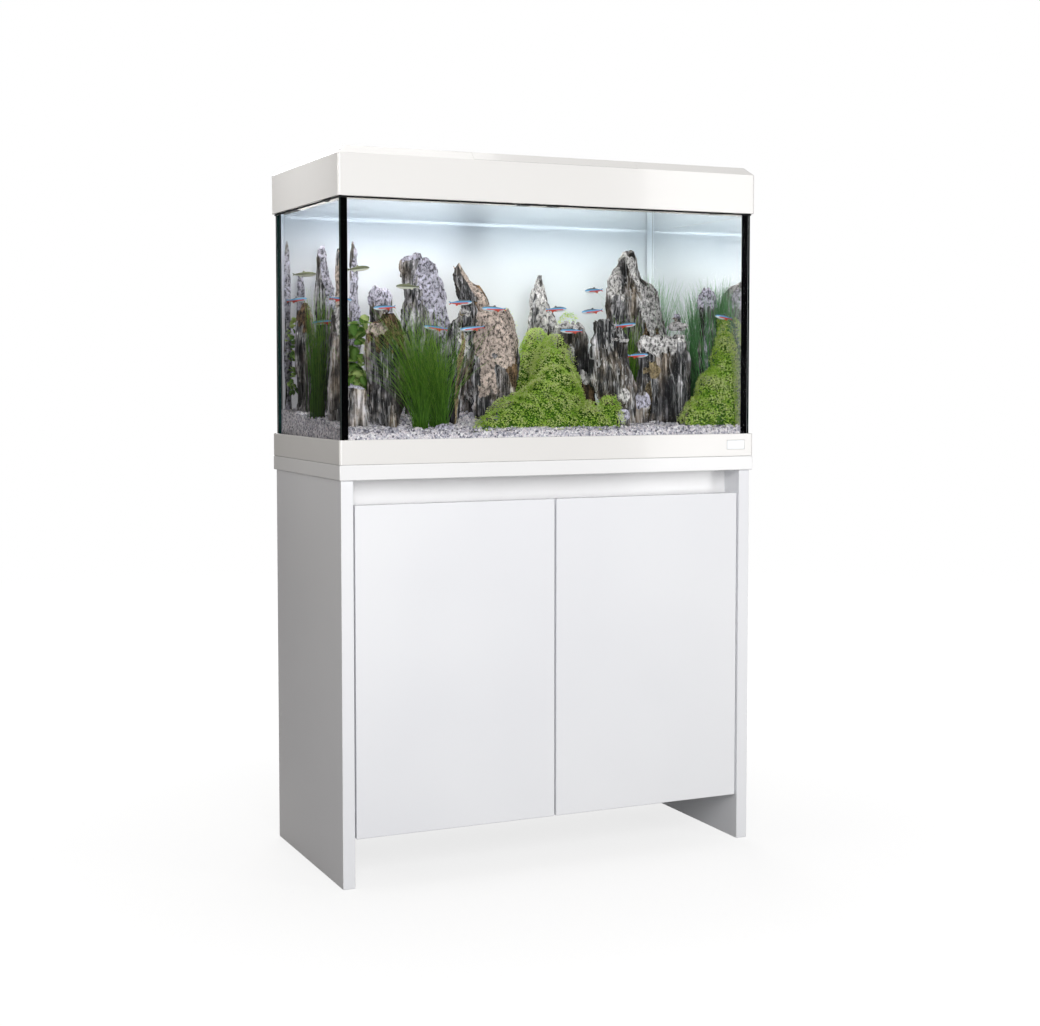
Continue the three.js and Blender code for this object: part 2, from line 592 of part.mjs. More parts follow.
// the lamp: a channel hung under the deck on two feet, with the diffuser set into it
function lightUnit() {
  const top = deckUnder - LIGHT.drop;
  const x = LIGHT.length / 2;
  const y = [LIGHT.y - LIGHT.width / 2, LIGHT.y + LIGHT.width / 2];
  const feet = [-1, 1].map((side) => {
    const centre = side * LIGHT.length * 3 / 8;
    return block([centre - 12, centre + 12], [LIGHT.y - 15, LIGHT.y + 15], [top - 1, deckUnder - GAP]);
  });
  const low = top - LIGHT.height;
  const pocket = block([-x + LIGHT.wall, x - LIGHT.wall], [y[0] + LIGHT.wall, y[1] - LIGHT.wall],
    [low - 1, low + LIGHT.lens + GAP]);
  const solid = cut(join(toSolid(block([-x, x], y, [low, top])), ...feet), pocket);
  const inset = LIGHT.wall + GAP;
  return [
    piece('light_unit', toGeometry(solid), aluminium),
    board('light_diffuser', lensMaterial, [-x + inset, x - inset],
      [y[0] + inset, y[1] - inset], [low, low + LIGHT.lens]),
  ];
}

// the rubber bush that the lamp's lead passes through
function leadGrommet() {
  const flangeFront = hoodY - HOOD_WALL - GAP;
  const profile = [
    [GROMMET.bore, 0], [GROMMET.radius, 0], [GROMMET.radius, flangeFront - hoodY],
    [GROMMET.flange, flangeFront - hoodY], [GROMMET.flange, -GROMMET.length],
    [GROMMET.bore, -GROMMET.length], [GROMMET.bore, 0],
  ].reverse();
  const ring = new THREE.LatheGeometry(profile.map(([r, y]) => new THREE.Vector2(r, y)), 20);
  return piece('lead_grommet', ring, rubber, GROMMET.x, hoodY, GROMMET.z);
}

// ---------- assembly ----------
const tank = new THREE.Group();
tank.position.z = CABINET_HEIGHT;
tank.add(baseFrame(), badgePlate(), ...panes(), ...seams(), backgroundFilm(), hoodGasket(), ...aquascape());

const hood = new THREE.Group();
hood.position.z = CABINET_HEIGHT + hoodBottom;
hood.add(hoodFrame(), feedingFlap(), flapPin('flap_pin_left', -1), flapPin('flap_pin_right', 1),
  ...lightUnit(), leadGrommet());

const aquarium = new THREE.Group();
aquarium.add(cabinetCase(), doorsAndHinges(), tank, hood);

export default aquarium;
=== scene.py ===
import math

import bmesh
import bpy
import numpy as np
from mathutils import Matrix, Vector

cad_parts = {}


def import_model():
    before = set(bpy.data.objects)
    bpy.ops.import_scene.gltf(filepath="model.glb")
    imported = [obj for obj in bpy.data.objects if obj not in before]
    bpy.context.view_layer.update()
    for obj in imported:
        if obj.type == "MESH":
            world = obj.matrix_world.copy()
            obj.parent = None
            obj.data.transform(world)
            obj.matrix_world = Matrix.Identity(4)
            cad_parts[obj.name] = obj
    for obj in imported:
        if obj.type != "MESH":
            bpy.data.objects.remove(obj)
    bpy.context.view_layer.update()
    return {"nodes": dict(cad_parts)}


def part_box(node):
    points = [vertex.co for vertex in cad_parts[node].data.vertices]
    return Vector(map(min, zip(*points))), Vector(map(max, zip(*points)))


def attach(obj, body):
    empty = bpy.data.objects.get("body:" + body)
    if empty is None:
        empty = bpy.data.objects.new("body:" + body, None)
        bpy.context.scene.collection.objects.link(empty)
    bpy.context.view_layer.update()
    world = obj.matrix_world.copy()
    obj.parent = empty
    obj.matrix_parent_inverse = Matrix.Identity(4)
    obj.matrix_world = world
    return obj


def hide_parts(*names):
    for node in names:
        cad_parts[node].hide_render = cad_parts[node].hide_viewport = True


# Looks of an aquarium on a white cabinet. Metres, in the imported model's frame.
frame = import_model()
nodes = frame["nodes"]
ROOT = "cabinet_and_tank"
WHITE = (1, 1, 1, 1)


def linked(name, data):
    thing = bpy.data.objects.new(name, data)
    bpy.context.scene.collection.objects.link(thing)
    return thing


# ---------- material helpers ----------
class Nodes:
    """A node tree, built by adding nodes whose inputs are values or other nodes' outputs."""

    def __init__(self, name, world=False):
        self.owner = (bpy.data.worlds if world else bpy.data.materials).new(name)
        self.owner.use_nodes = True
        self.tree = self.owner.node_tree
        self.tree.nodes.clear()

    def add(self, kind, inputs=None, **settings):
        node = self.tree.nodes.new("ShaderNode" + kind)
        for key, value in settings.items():
            setattr(node, key, value)
        for key, value in (inputs or {}).items():
            if isinstance(value, bpy.types.NodeSocket):
                self.tree.links.new(value, node.inputs[key])
            else:
                node.inputs[key].default_value = value
        return node

    def first(self, kind, inputs=None, **settings):
        return self.add(kind, inputs, **settings).outputs[0]

    def math(self, operation, a, b=0.0):
        return self.first("Math", {0: a, 1: b}, operation=operation)

    def total(self, *terms):
        """The sum of values, each given after its weight."""
        result = 0.0
        for weight, value in terms:
            result = self.math("ADD", self.math("MULTIPLY", value, weight), result)
        return result

    def span(self, value, low, high, to_low=0.0, to_high=1.0):
        """Carries low to high over to to_low to to_high, and holds there beyond them."""
        return self.first("MapRange", {"Value": value, "From Min": low, "From Max": high, "To Min": to_low,
                                       "To Max": to_high}, clamp=True)

    def mix(self, share, a, b, how="MIX"):
        return self.add("Mix", {0: share, 6: a, 7: b}, data_type="RGBA", blend_type=how).outputs[2]

    def blend(self, share, a, b):
        return self.first("MixShader", {0: share, 1: a, 2: b})

    def ramp(self, value, *stops):
        node = self.add("ValToRGB", {0: value})
        bar = node.color_ramp
        while len(bar.elements) < len(stops):
            bar.elements.new(0.5)
        for element, (place, color) in zip(bar.elements, stops):
            element.position = place
            element.color = color if hasattr(color, "__len__") else (color, color, color, 1)
        return node.outputs[0]

    def axes(self, kind="Object"):
        """X, Y and Z of the place on the object, or of its Normal."""
        return self.add("SeparateXYZ", {0: self.add("TexCoord").outputs[kind]}).outputs

    def place(self, scale=(1, 1, 1), turn=(0, 0, 0)):
        where = self.add("TexCoord").outputs["Object"]
        return self.first("Mapping", {"Vector": where, "Scale": scale, "Rotation": turn})

    def noise(self, vector, scale, detail=3.0, rough=0.5):
        return self.add("TexNoise", {"Vector": vector, "Scale": scale, "Detail": detail,
                                     "Roughness": rough}).outputs["Fac"]

    def cells(self, scale, output):
        return self.add("TexVoronoi", {"Vector": self.place(), "Scale": scale}).outputs[output]

    def attribute(self, name):
        return self.add("Attribute", attribute_name=name).outputs["Fac"]

    def bump(self, height, strength, distance):
        return self.first("Bump", {"Height": height, "Strength": strength, "Distance": distance})

    def clear(self, color=WHITE):
        return self.first("BsdfTransparent", {"Color": color})

    def gloss(self, color=WHITE, rough=0.02):
        return self.first("BsdfGlossy", {"Color": color, "Roughness": rough})

    def shader(self, **inputs):
        named = {key.replace("_", " "): value for key, value in inputs.items()}
        return self.first("BsdfPrincipled", named)

    def done(self, surface, output="OutputMaterial"):
        self.tree.links.new(surface, self.add(output).inputs["Surface"])
        return self.owner


def rgb(r, g, b):
    """A colour given as seen on a screen, 0 to 255, as linear values."""
    def linear(c):
        c /= 255
        return c / 12.92 if c <= 0.04045 else ((c + 0.055) / 1.055) ** 2.4
    return (linear(r), linear(g), linear(b), 1)


def shaded(color, share):
    return tuple(c * share for c in color[:3]) + (1,)


# ---------- camera, floor and light ----------
CAMERA_PLACE = (-1.316, -2.903, 0.879)
CAMERA_DOWN, CAMERA_TURN = 0.0568, -0.430
CAMERA_LENS, CAMERA_SHIFT = 58.82, -0.0413
STUDIO_LIGHT = (1.0, 0.975, 0.945, 1)

# name, place, aim, size, power, and where needed how narrow it is and its colour
LIGHTS = [
    ("key", (-0.8, -2.7, 1.35), (0.0, 0, 0.85), (1.8, 1.6), 55),
    ("right_box", (1.9, -2.4, 1.1), (0.1, -0.2, 0.95), (0.9, 1.7), 17),
    ("top", (0.0, 0.5, 3.0), (0, 0, 1.2), (1.4, 1.4), 13),
    ("left_side", (-3.2, 0.1, 1.0), (-0.4, 0, 0.7), (1.6, 1.8), 4, 180, (1, 0.85, 0.70)),
    ("left_hood", (-1.4, 0.12, 1.52), (-0.4, 0.02, 1.27), (0.4, 0.4), 0.7, 50),
    ("back", (0.9, 3.2, 2.0), (0, 0, 0.7), (2.0, 2.0), 50),
]


def camera():
    data = bpy.data.cameras.new("camera")
    data.sensor_width = 36
    data.lens = CAMERA_LENS
    data.shift_y = CAMERA_SHIFT
    data.clip_end = 60
    shot = linked("camera", data)
    shot.location = CAMERA_PLACE
    shot.rotation_euler = (math.pi / 2 - CAMERA_DOWN, 0, CAMERA_TURN)
    bpy.context.scene.camera = shot


def area_light(name, location, target, size, power, spread=180, color=(1, 1, 1)):
    data = bpy.data.lights.new(name, "AREA")
    data.shape = "RECTANGLE"
    data.size, data.size_y = size
    data.energy = power
    data.spread = math.radians(spread)
    data.color = color
    lamp = linked(name, data)
    turn = (Vector(target) - Vector(location)).to_track_quat("-Z", "Y")
    lamp.matrix_world = Matrix.Translation(location) @ turn.to_matrix().to_4x4()
    lamp.visible_camera = False


def world():
    """Plain white where it is seen, and a weaker warm light elsewhere."""
    n = Nodes("studio", world=True)
    seen = n.first("Background", {"Color": WHITE, "Strength": 1.0})
    light = n.first("Background", {"Color": STUDIO_LIGHT, "Strength": 0.245})
    eye = n.add("LightPath").outputs["Is Camera Ray"]
    bpy.context.scene.world = n.done(n.blend(eye, light, seen), "OutputWorld")


def floor():
    """A pale disc that takes a soft shadow near the object and melts into the white studio further out."""
    bm = bmesh.new()
    bmesh.ops.create_circle(bm, cap_ends=True, segments=96, radius=6.0)
    mesh = bpy.data.meshes.new("floor")
    bm.to_mesh(mesh)
    bm.free()
    ground = linked("floor", mesh)
    ground.location.z = -0.0005
    n = Nodes("floor")
    far = n.add("VectorMath", {0: n.add("TexCoord").outputs["Object"]}, operation="LENGTH").outputs["Value"]
    lit = n.first("BsdfDiffuse", {"Color": (0.93, 0.93, 0.93, 1)})
    white = n.first("Emission", {"Color": WHITE, "Strength": 1.05})
    seen = n.blend(n.span(far, 0.3, 1.3, 0.72, 1.0), lit, white)
    seen = n.blend(n.span(far, 2.0, 4.5), seen, n.clear())
    bounce = n.first("BsdfDiffuse", {"Color": (0.30, 0.30, 0.30, 1)})
    eye = n.add("LightPath").outputs["Is Camera Ray"]
    ground.data.materials.append(n.done(n.blend(eye, bounce, seen)))


# ---------- materials of the cabinet, hood and frame ----------
def white_board(name, light, shade, rough, coat):
    """Melamine or lacquered board: two near whites that drift, a faint orange peel, uneven gloss."""
    n = Nodes(name)
    where = n.place()
    drift = n.ramp(n.noise(where, 2.2, 2), (0.35, 0.0), (0.65, 1.0))
    uneven = n.span(n.noise(where, 9, 4), 0, 1, rough - 0.03, rough + 0.05)
    return n.done(n.shader(Base_Color=n.mix(drift, shade, light), Roughness=uneven, Coat_Weight=coat,
                           Coat_Roughness=0.08, Normal=n.bump(n.noise(where, 420, 2), 0.12, 0.0002)))


def white_plastic():
    """Gloss moulded plastic: slow ripples of the moulding under a hard clear gloss."""
    n = Nodes("gloss_plastic")
    where = n.place()
    color = n.mix(n.noise(where, 1.7, 2), rgb(234, 232, 230), rgb(242, 241, 239))
    height = n.total((1.0, n.noise(where, 14, 1)), (0.04, n.noise(where, 700, 2)))
    uneven = n.span(n.noise(where, 24, 3), 0, 1, 0.12, 0.2)
    return n.done(n.shader(Base_Color=color, Roughness=uneven, Coat_Weight=0.35, Coat_Roughness=0.04,
                           Normal=n.bump(height, 0.25, 0.0012)))


def hardboard():
    n = Nodes("hardboard")
    fibre = n.noise(n.place((1, 1, 0.35)), 260, 5, 0.65)
    color = n.mix(n.ramp(fibre, (0.3, 0.0), (0.7, 1.0)), rgb(214, 212, 206), rgb(234, 233, 229))
    height = n.math("ADD", fibre, n.noise(n.place(), 40, 2))
    return n.done(n.shader(Base_Color=color, Roughness=0.72, Normal=n.bump(height, 0.25, 0.0006)))


def brushed_metal(name, stretch, grain, dark, light, bump, metallic, rough):
    """Fine lines along one axis. rough is one number, or the least and most of a gloss that follows them."""
    n = Nodes(name)
    lines = n.noise(n.place(stretch), *grain)
    rough = n.span(lines, 0, 1, *rough) if isinstance(rough, tuple) else rough
    return n.done(n.shader(Base_Color=n.mix(lines, dark, light), Metallic=metallic, Roughness=rough,
                           Normal=n.bump(lines, *bump)))


def dark_rubber(name, tone, rough, gloss):
    n = Nodes(name)
    where = n.place()
    mottled = n.noise(where, 180, 3)
    color = n.mix(mottled, (tone, tone, tone * 1.1, 1), (tone * 2.2, tone * 2.3, tone * 2.5, 1))
    return n.done(n.shader(Base_Color=color, Roughness=rough, Specular_IOR_Level=gloss,
                           Normal=n.bump(n.noise(where, 90, 3), 0.3, 0.0006)))


def seam_silicone(name, side, back):
    """Black silicone. On the back corners the background's colour laps over the inner faces and glows as the
    film does, which is painted light.
    """
    n = Nodes(name)
    mottled = n.noise(n.place(), 180, 3)
    black = n.mix(mottled, (0.0006, 0.0006, 0.0008, 1), (0.0016, 0.0016, 0.002, 1))
    inputs = dict(Base_Color=black)
    if back:
        normal = n.axes("Normal")
        outward = n.math("MAXIMUM", n.math("MULTIPLY", normal[0], side), normal[1])
        color = n.mix(n.math("GREATER_THAN", outward, 0.3), film_color(n), black)
        # painted light: the lapped film colour glows as the film does
        inputs = dict(Base_Color=color, Emission_Color=color, Emission_Strength=FILM_PAINTED_GLOW)
    return n.done(n.shader(Roughness=0.5, Specular_IOR_Level=0.0, Normal=n.bump(mottled, 0.2, 0.0005),
                           **inputs))


# ---------- materials of the tank ----------
def clear_sheet(n, ripple, tints, index, strength):
    """Nearly clear all over, with a faint gloss that grows with the slant of view."""
    tint = n.mix(n.noise(n.place(), *ripple), *tints)
    shine = n.math("MULTIPLY", n.first("Fresnel", {"IOR": index}), strength)
    return n.blend(shine, n.clear(tint), n.gloss())


def mirrored_from_inside(n, sheet, wet, start, full):
    """Past a slant of view, light inside the water can't leave it, and the wet side turns into a mirror."""
    share = n.span(n.add("LayerWeight", {"Blend": 0.5}).outputs["Facing"], start, full)
    facing_us = n.math("SUBTRACT", 1.0, n.add("NewGeometry").outputs["Backfacing"])
    share = n.math("MULTIPLY", n.math("MULTIPLY", share, facing_us), wet)
    return n.blend(share, sheet, n.gloss((0.985, 0.985, 0.98, 1), 0.0))


def pane_glass(name, axis, inward=0, depth=1.0):
    """Clear across its broad faces and deep green along its cut edges. axis is the way through the pane.

    inward is the side of that axis that faces the water, where the pane mirrors at a slant. depth scales the
    green of the edges. The edges of a level pane let the lamp's light through.
    """
    n = Nodes(name)
    through = n.axes("Normal")["XYZ".index(axis)]
    broad = n.math("GREATER_THAN", n.math("ABSOLUTE", through), 0.5)
    sheet = clear_sheet(n, (3.0, 1), ((0.995, 0.998, 0.996, 1), (0.997, 0.999, 0.998, 1)), 1.45, 0.018)
    if inward:
        wet = n.math("GREATER_THAN", n.math("MULTIPLY", through, inward), 0.5)
        sheet = mirrored_from_inside(n, sheet, wet, 0.40, 0.48)
    deep = n.mix(n.noise(n.place(), 60, 2), shaded(rgb(2, 22, 22), depth), shaded(rgb(8, 52, 48), depth))
    edge = n.shader(Base_Color=deep, Roughness=0.25, Specular_IOR_Level=0.2)
    if axis == "Z":
        shadow = n.add("LightPath").outputs["Is Shadow Ray"]
        edge = n.blend(shadow, edge, n.clear((0.9, 0.97, 0.95, 1)))
    return n.done(n.blend(broad, edge, sheet))


def water_material():
    """A still surface: nearly clear from above, a mirror from below at a slant."""
    n = Nodes("water_surface")
    sheet = clear_sheet(n, (12, 2), ((0.985, 0.99, 0.985, 1), (0.995, 1.0, 0.995, 1)), 1.33, 0.6)
    under = n.math("LESS_THAN", n.axes("Normal")[2], -0.5)
    return n.done(mirrored_from_inside(n, sheet, under, 0.6, 0.8))


# How strongly the film glows in its own colour: painted light, as the film is no lamp.
FILM_PAINTED_GLOW = 0.25


def film_color(n):
    """Fades from a soft grey blue at the top to near white, palest left of the middle."""
    low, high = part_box("background_film")
    parts = n.axes()
    up = n.span(parts[2], low.z, high.z)
    across = n.span(parts[0], low.x, high.x)
    height = n.total((0.10, n.math("SUBTRACT", n.noise(n.place(), 2.5, 2), 0.5)), (1.0, up))
    left = n.ramp(height, (0.0, rgb(220, 219, 222)), (0.50, rgb(218, 218, 222)),
                  (0.78, rgb(212, 216, 224)), (1.0, rgb(190, 203, 219)))
    right = n.ramp(height, (0.0, rgb(212, 218, 217)), (0.50, rgb(208, 215, 216)),
                   (0.78, rgb(200, 209, 214)), (1.0, rgb(182, 197, 209)))
    pale = n.ramp(across, (0.25, 0.0), (0.42, 1.0), (0.62, 0.0))
    pale = n.math("MULTIPLY", pale, n.ramp(height, (0.35, 1.0), (0.85, 0.0)))
    return n.mix(n.math("MULTIPLY", pale, 0.7), n.mix(across, left, right), rgb(230, 228, 229))


def background():
    n = Nodes("background_film")
    color = film_color(n)
    # The film glows in its own colour: painted light, not a lamp.
    return n.done(n.shader(Base_Color=color, Roughness=0.6, Specular_IOR_Level=0.1,
                           Emission_Color=color, Emission_Strength=FILM_PAINTED_GLOW))


def lamp_glow():
    n = Nodes("diffuser")
    color = n.mix(n.cells(60, "Distance"), (1.0, 0.985, 0.965, 1), (1.0, 0.97, 0.945, 1))
    return n.done(n.shader(Base_Color=color, Roughness=0.4, Emission_Color=color, Emission_Strength=12.0))


# ---------- shapes in code ----------
LATTICE = np.random.default_rng(7).random((32, 32, 32))


def noise3(points, scale, offset=0.0):
    """Smooth value noise from 0 to 1 at points (n, 3); scale is the size of a cell, one number or three."""
    p = points / np.asarray(scale, float) + offset
    cell = np.floor(p).astype(int)
    f = p - cell
    f = f * f * (3 - 2 * f)
    total = 0.0
    for dx in (0, 1):
        for dy in (0, 1):
            for dz in (0, 1):
                corner = LATTICE[(cell[:, 0] + dx) & 31, (cell[:, 1] + dy) & 31, (cell[:, 2] + dz) & 31]
                weight = (np.where(dx, f[:, 0], 1 - f[:, 0]) * np.where(dy, f[:, 1], 1 - f[:, 1])
                          * np.where(dz, f[:, 2], 1 - f[:, 2]))
                total = total + corner * weight
    return total


def store(piece, name, values):
    layer = piece.data.attributes.new(name, "FLOAT", "POINT")
    layer.data.foreach_set("value", np.asarray(values, np.float32))


def make_mesh(name, points, faces, material, tone=None, smooth=True):
    mesh = bpy.data.meshes.new(name)
    mesh.from_pydata([tuple(p) for p in points], [], [tuple(int(i) for i in f) for f in faces])
    mesh.polygons.foreach_set("use_smooth", [smooth] * len(mesh.polygons))
    mesh.materials.append(material)
    mesh.update()
    piece = linked(name, mesh)
    if tone is not None:
        store(piece, "tone", tone)
    return piece


def level_grid(low, high, nx, ny):
    """Points at height 0 over a rectangle, row by row."""
    x, y = np.meshgrid(np.linspace(low[0], high[0], nx), np.linspace(low[1], high[1], ny))
    return np.stack([x.ravel(), y.ravel(), np.zeros(x.size)], 1)


def slab(name, flat, top, bottom, nx, ny, material):
    """A closed block over a level grid, between the heights top and bottom."""
    count = nx * ny
    points = np.vstack([flat, flat])
    points[:count, 2] = top
    points[count:, 2] = bottom
    j, i = np.meshgrid(np.arange(ny - 1), np.arange(nx - 1), indexing="ij")
    a = (j * nx + i).ravel()
    upper = np.stack([a, a + 1, a + nx + 1, a + nx], 1)
    last = (ny - 1) * nx
    rim = np.array(list(range(nx)) + [j * nx + nx - 1 for j in range(1, ny)]
                   + [last + i for i in range(nx - 2, -1, -1)] + [j * nx for j in range(ny - 2, 0, -1)])
    after = np.roll(rim, -1)
    walls = np.stack([after, rim, rim + count, after + count], 1)
    return make_mesh(name, points, np.vstack([upper, upper[:, ::-1] + count, walls]), material)


def tube_faces(rings, around):
    """Four-sided faces between successive rings of points."""
    ring, step = np.meshgrid(np.arange(rings - 1) * around, np.arange(around), indexing="ij")
    after = (step + 1) % around
    corners = (ring + step, ring + after, ring + around + after, ring + around + step)
    return np.stack(corners, -1).reshape(-1, 4)


def fan_faces(start, around, tip):
    """Three-sided faces from a ring of points to a tip."""
    return [(start + i, start + (i + 1) % around, tip) for i in range(around)]


def ball(subdivisions):
    bm = bmesh.new()
    bmesh.ops.create_icosphere(bm, subdivisions=subdivisions, radius=1.0)
    points = np.array([v.co for v in bm.verts])
    faces = np.array([[v.index for v in f.verts] for f in bm.faces])
    bm.free()
    return points, faces


def many(shape_points, shape_faces, turns, sizes, places):
    """Copies of one small closed shape: turns (n, 3, 3), sizes (n, 3), places (n, 3)."""
    count, size = len(places), len(shape_points)
    local = shape_points[None] * sizes[:, None, :]
    points = np.einsum("nij,nkj->nki", turns, local) + places[:, None, :]
    faces = shape_faces[None] + (np.arange(count) * size)[:, None, None]
    return points.reshape(-1, 3), faces.reshape(-1, shape_faces.shape[1])


def turned(x, y, z, angle):
    """Rotation matrices about the unit axes x, y, z by the angles."""
    none = np.zeros_like(angle)
    x, y, z = x + none, y + none, z + none
    cross = np.stack([none, -z, y, z, none, -x, -y, x, none], 1).reshape(-1, 3, 3)
    sine, rest = np.sin(angle)[:, None, None], (1 - np.cos(angle))[:, None, None]
    return np.eye(3) + sine * cross + rest * (cross @ cross)


def random_turns(rng, count, tilt=None):
    """Rotation matrices: a spin about Z, then a tilt about a level axis."""
    spin = rng.uniform(0, 2 * math.pi, count)
    tilt = rng.uniform(0, math.pi, count) if tilt is None else tilt
    aim = rng.uniform(0, 2 * math.pi, count)
    return turned(np.cos(aim), np.sin(aim), 0, tilt) @ turned(0, 0, 1, spin)


def water_surface(z):
    """The top of the water as a thin closed skin with faint ripples, from pane to pane."""
    nx, ny = 120, 56
    thick, gap = 0.0008, 0.0005
    reach = (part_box("glass_right")[0].x - gap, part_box("glass_back")[0].y - gap)
    flat = level_grid((-reach[0], -reach[1]), reach, nx, ny)
    ripple = (noise3(flat, 0.06, 1.7) - 0.5) * 0.0003
    skin = slab("water_surface", flat, z + thick + ripple, z + ripple, nx, ny, water_material())
    return skin


# ---------- gravel ----------
GRAVEL_LOW, GRAVEL_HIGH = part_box("gravel_bed")
GRAVEL_FRONT_Z = GRAVEL_LOW.z + 0.040
GRAVEL_BACK_Z = GRAVEL_HIGH.z


def gravel_height(y):
    """The bed rises evenly from the front pane to the back."""
    share = (y - GRAVEL_LOW.y) / (GRAVEL_HIGH.y - GRAVEL_LOW.y)
    return GRAVEL_FRONT_Z + (GRAVEL_BACK_Z - GRAVEL_FRONT_Z) * share


def gravel_color(n, tone):
    where = n.place()
    color = n.ramp(tone, (0.0, rgb(92, 92, 102)), (0.16, rgb(158, 158, 172)), (0.45, rgb(212, 211, 222)),
                   (0.7, rgb(234, 226, 232)), (1.0, rgb(252, 252, 255)))
    speck = n.ramp(n.noise(where, 900, 3), (0.35, 0.6), (0.6, 1.0))
    return n.done(n.shader(Base_Color=n.mix(1.0, color, speck, "MULTIPLY"), Roughness=0.8,
                           Specular_IOR_Level=0.3, Normal=n.bump(n.noise(where, 500, 4), 0.6, 0.0008)))


def gravel_material():
    """For the bed: grains of many tones, each one cell of a cell pattern."""
    n = Nodes("gravel")
    return gravel_color(n, n.first("SeparateXYZ", {0: n.cells(330, "Color")}))


def chip_material():
    """For the loose chips: each has its own tone."""
    n = Nodes("gravel_chip")
    return gravel_color(n, n.attribute("tone"))


def gravel_bed(material):
    """The bed as a closed block with an uneven top."""
    nx, ny = 260, 120
    flat = level_grid(GRAVEL_LOW, GRAVEL_HIGH, nx, ny)
    lumps = (noise3(flat, 0.05) - 0.5) * 0.008 + (noise3(flat, 0.012, 3.3) - 0.5) * 0.006
    lumps += (noise3(flat, 0.005, 9.1) - 0.5) * 0.004
    bed = slab("gravel", flat, gravel_height(flat[:, 1]) + lumps, GRAVEL_LOW.z, nx, ny, material)
    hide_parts("gravel_bed")
    return bed


def gravel_chips(material, count=5200):
    """Loose angular chips on the bed, thickest near the front pane."""
    rng = np.random.default_rng(11)
    x = rng.uniform(GRAVEL_LOW.x + 0.003, GRAVEL_HIGH.x - 0.003, count)
    y = GRAVEL_LOW.y + 0.0025 + (GRAVEL_HIGH.y - GRAVEL_LOW.y - 0.005) * rng.uniform(0, 1, count) ** 1.9
    size = rng.uniform(0.0013, 0.0034, count)
    z = gravel_height(y) + rng.uniform(-0.0005, 0.003, count)
    shape, faces = ball(1)
    shape = shape * np.random.default_rng(3).uniform(0.72, 1.15, (len(shape), 1))
    stretch = size[:, None] * rng.uniform(0.65, 1.25, (count, 3))
    keep = np.minimum(np.minimum(x - GRAVEL_LOW.x, GRAVEL_HIGH.x - x), y - GRAVEL_LOW.y) > size * 1.2
    turns = random_turns(rng, count)
    places = np.stack([x, y, z], 1)
    points, faces = many(shape, faces, turns[keep], stretch[keep], places[keep])
    tone = np.repeat(rng.uniform(0, 1, count)[keep], len(shape))
    return make_mesh("gravel_chips", points, faces, material, tone, smooth=False)


# ---------- rocks ----------
# Weathering colours: pale crusts, brown and golden stains.
CHALK = rgb(228, 226, 226)
LILAC = rgb(214, 212, 230)
PINK = rgb(206, 190, 180)
BROWN = rgb(150, 122, 92)
GOLD = rgb(200, 182, 142)

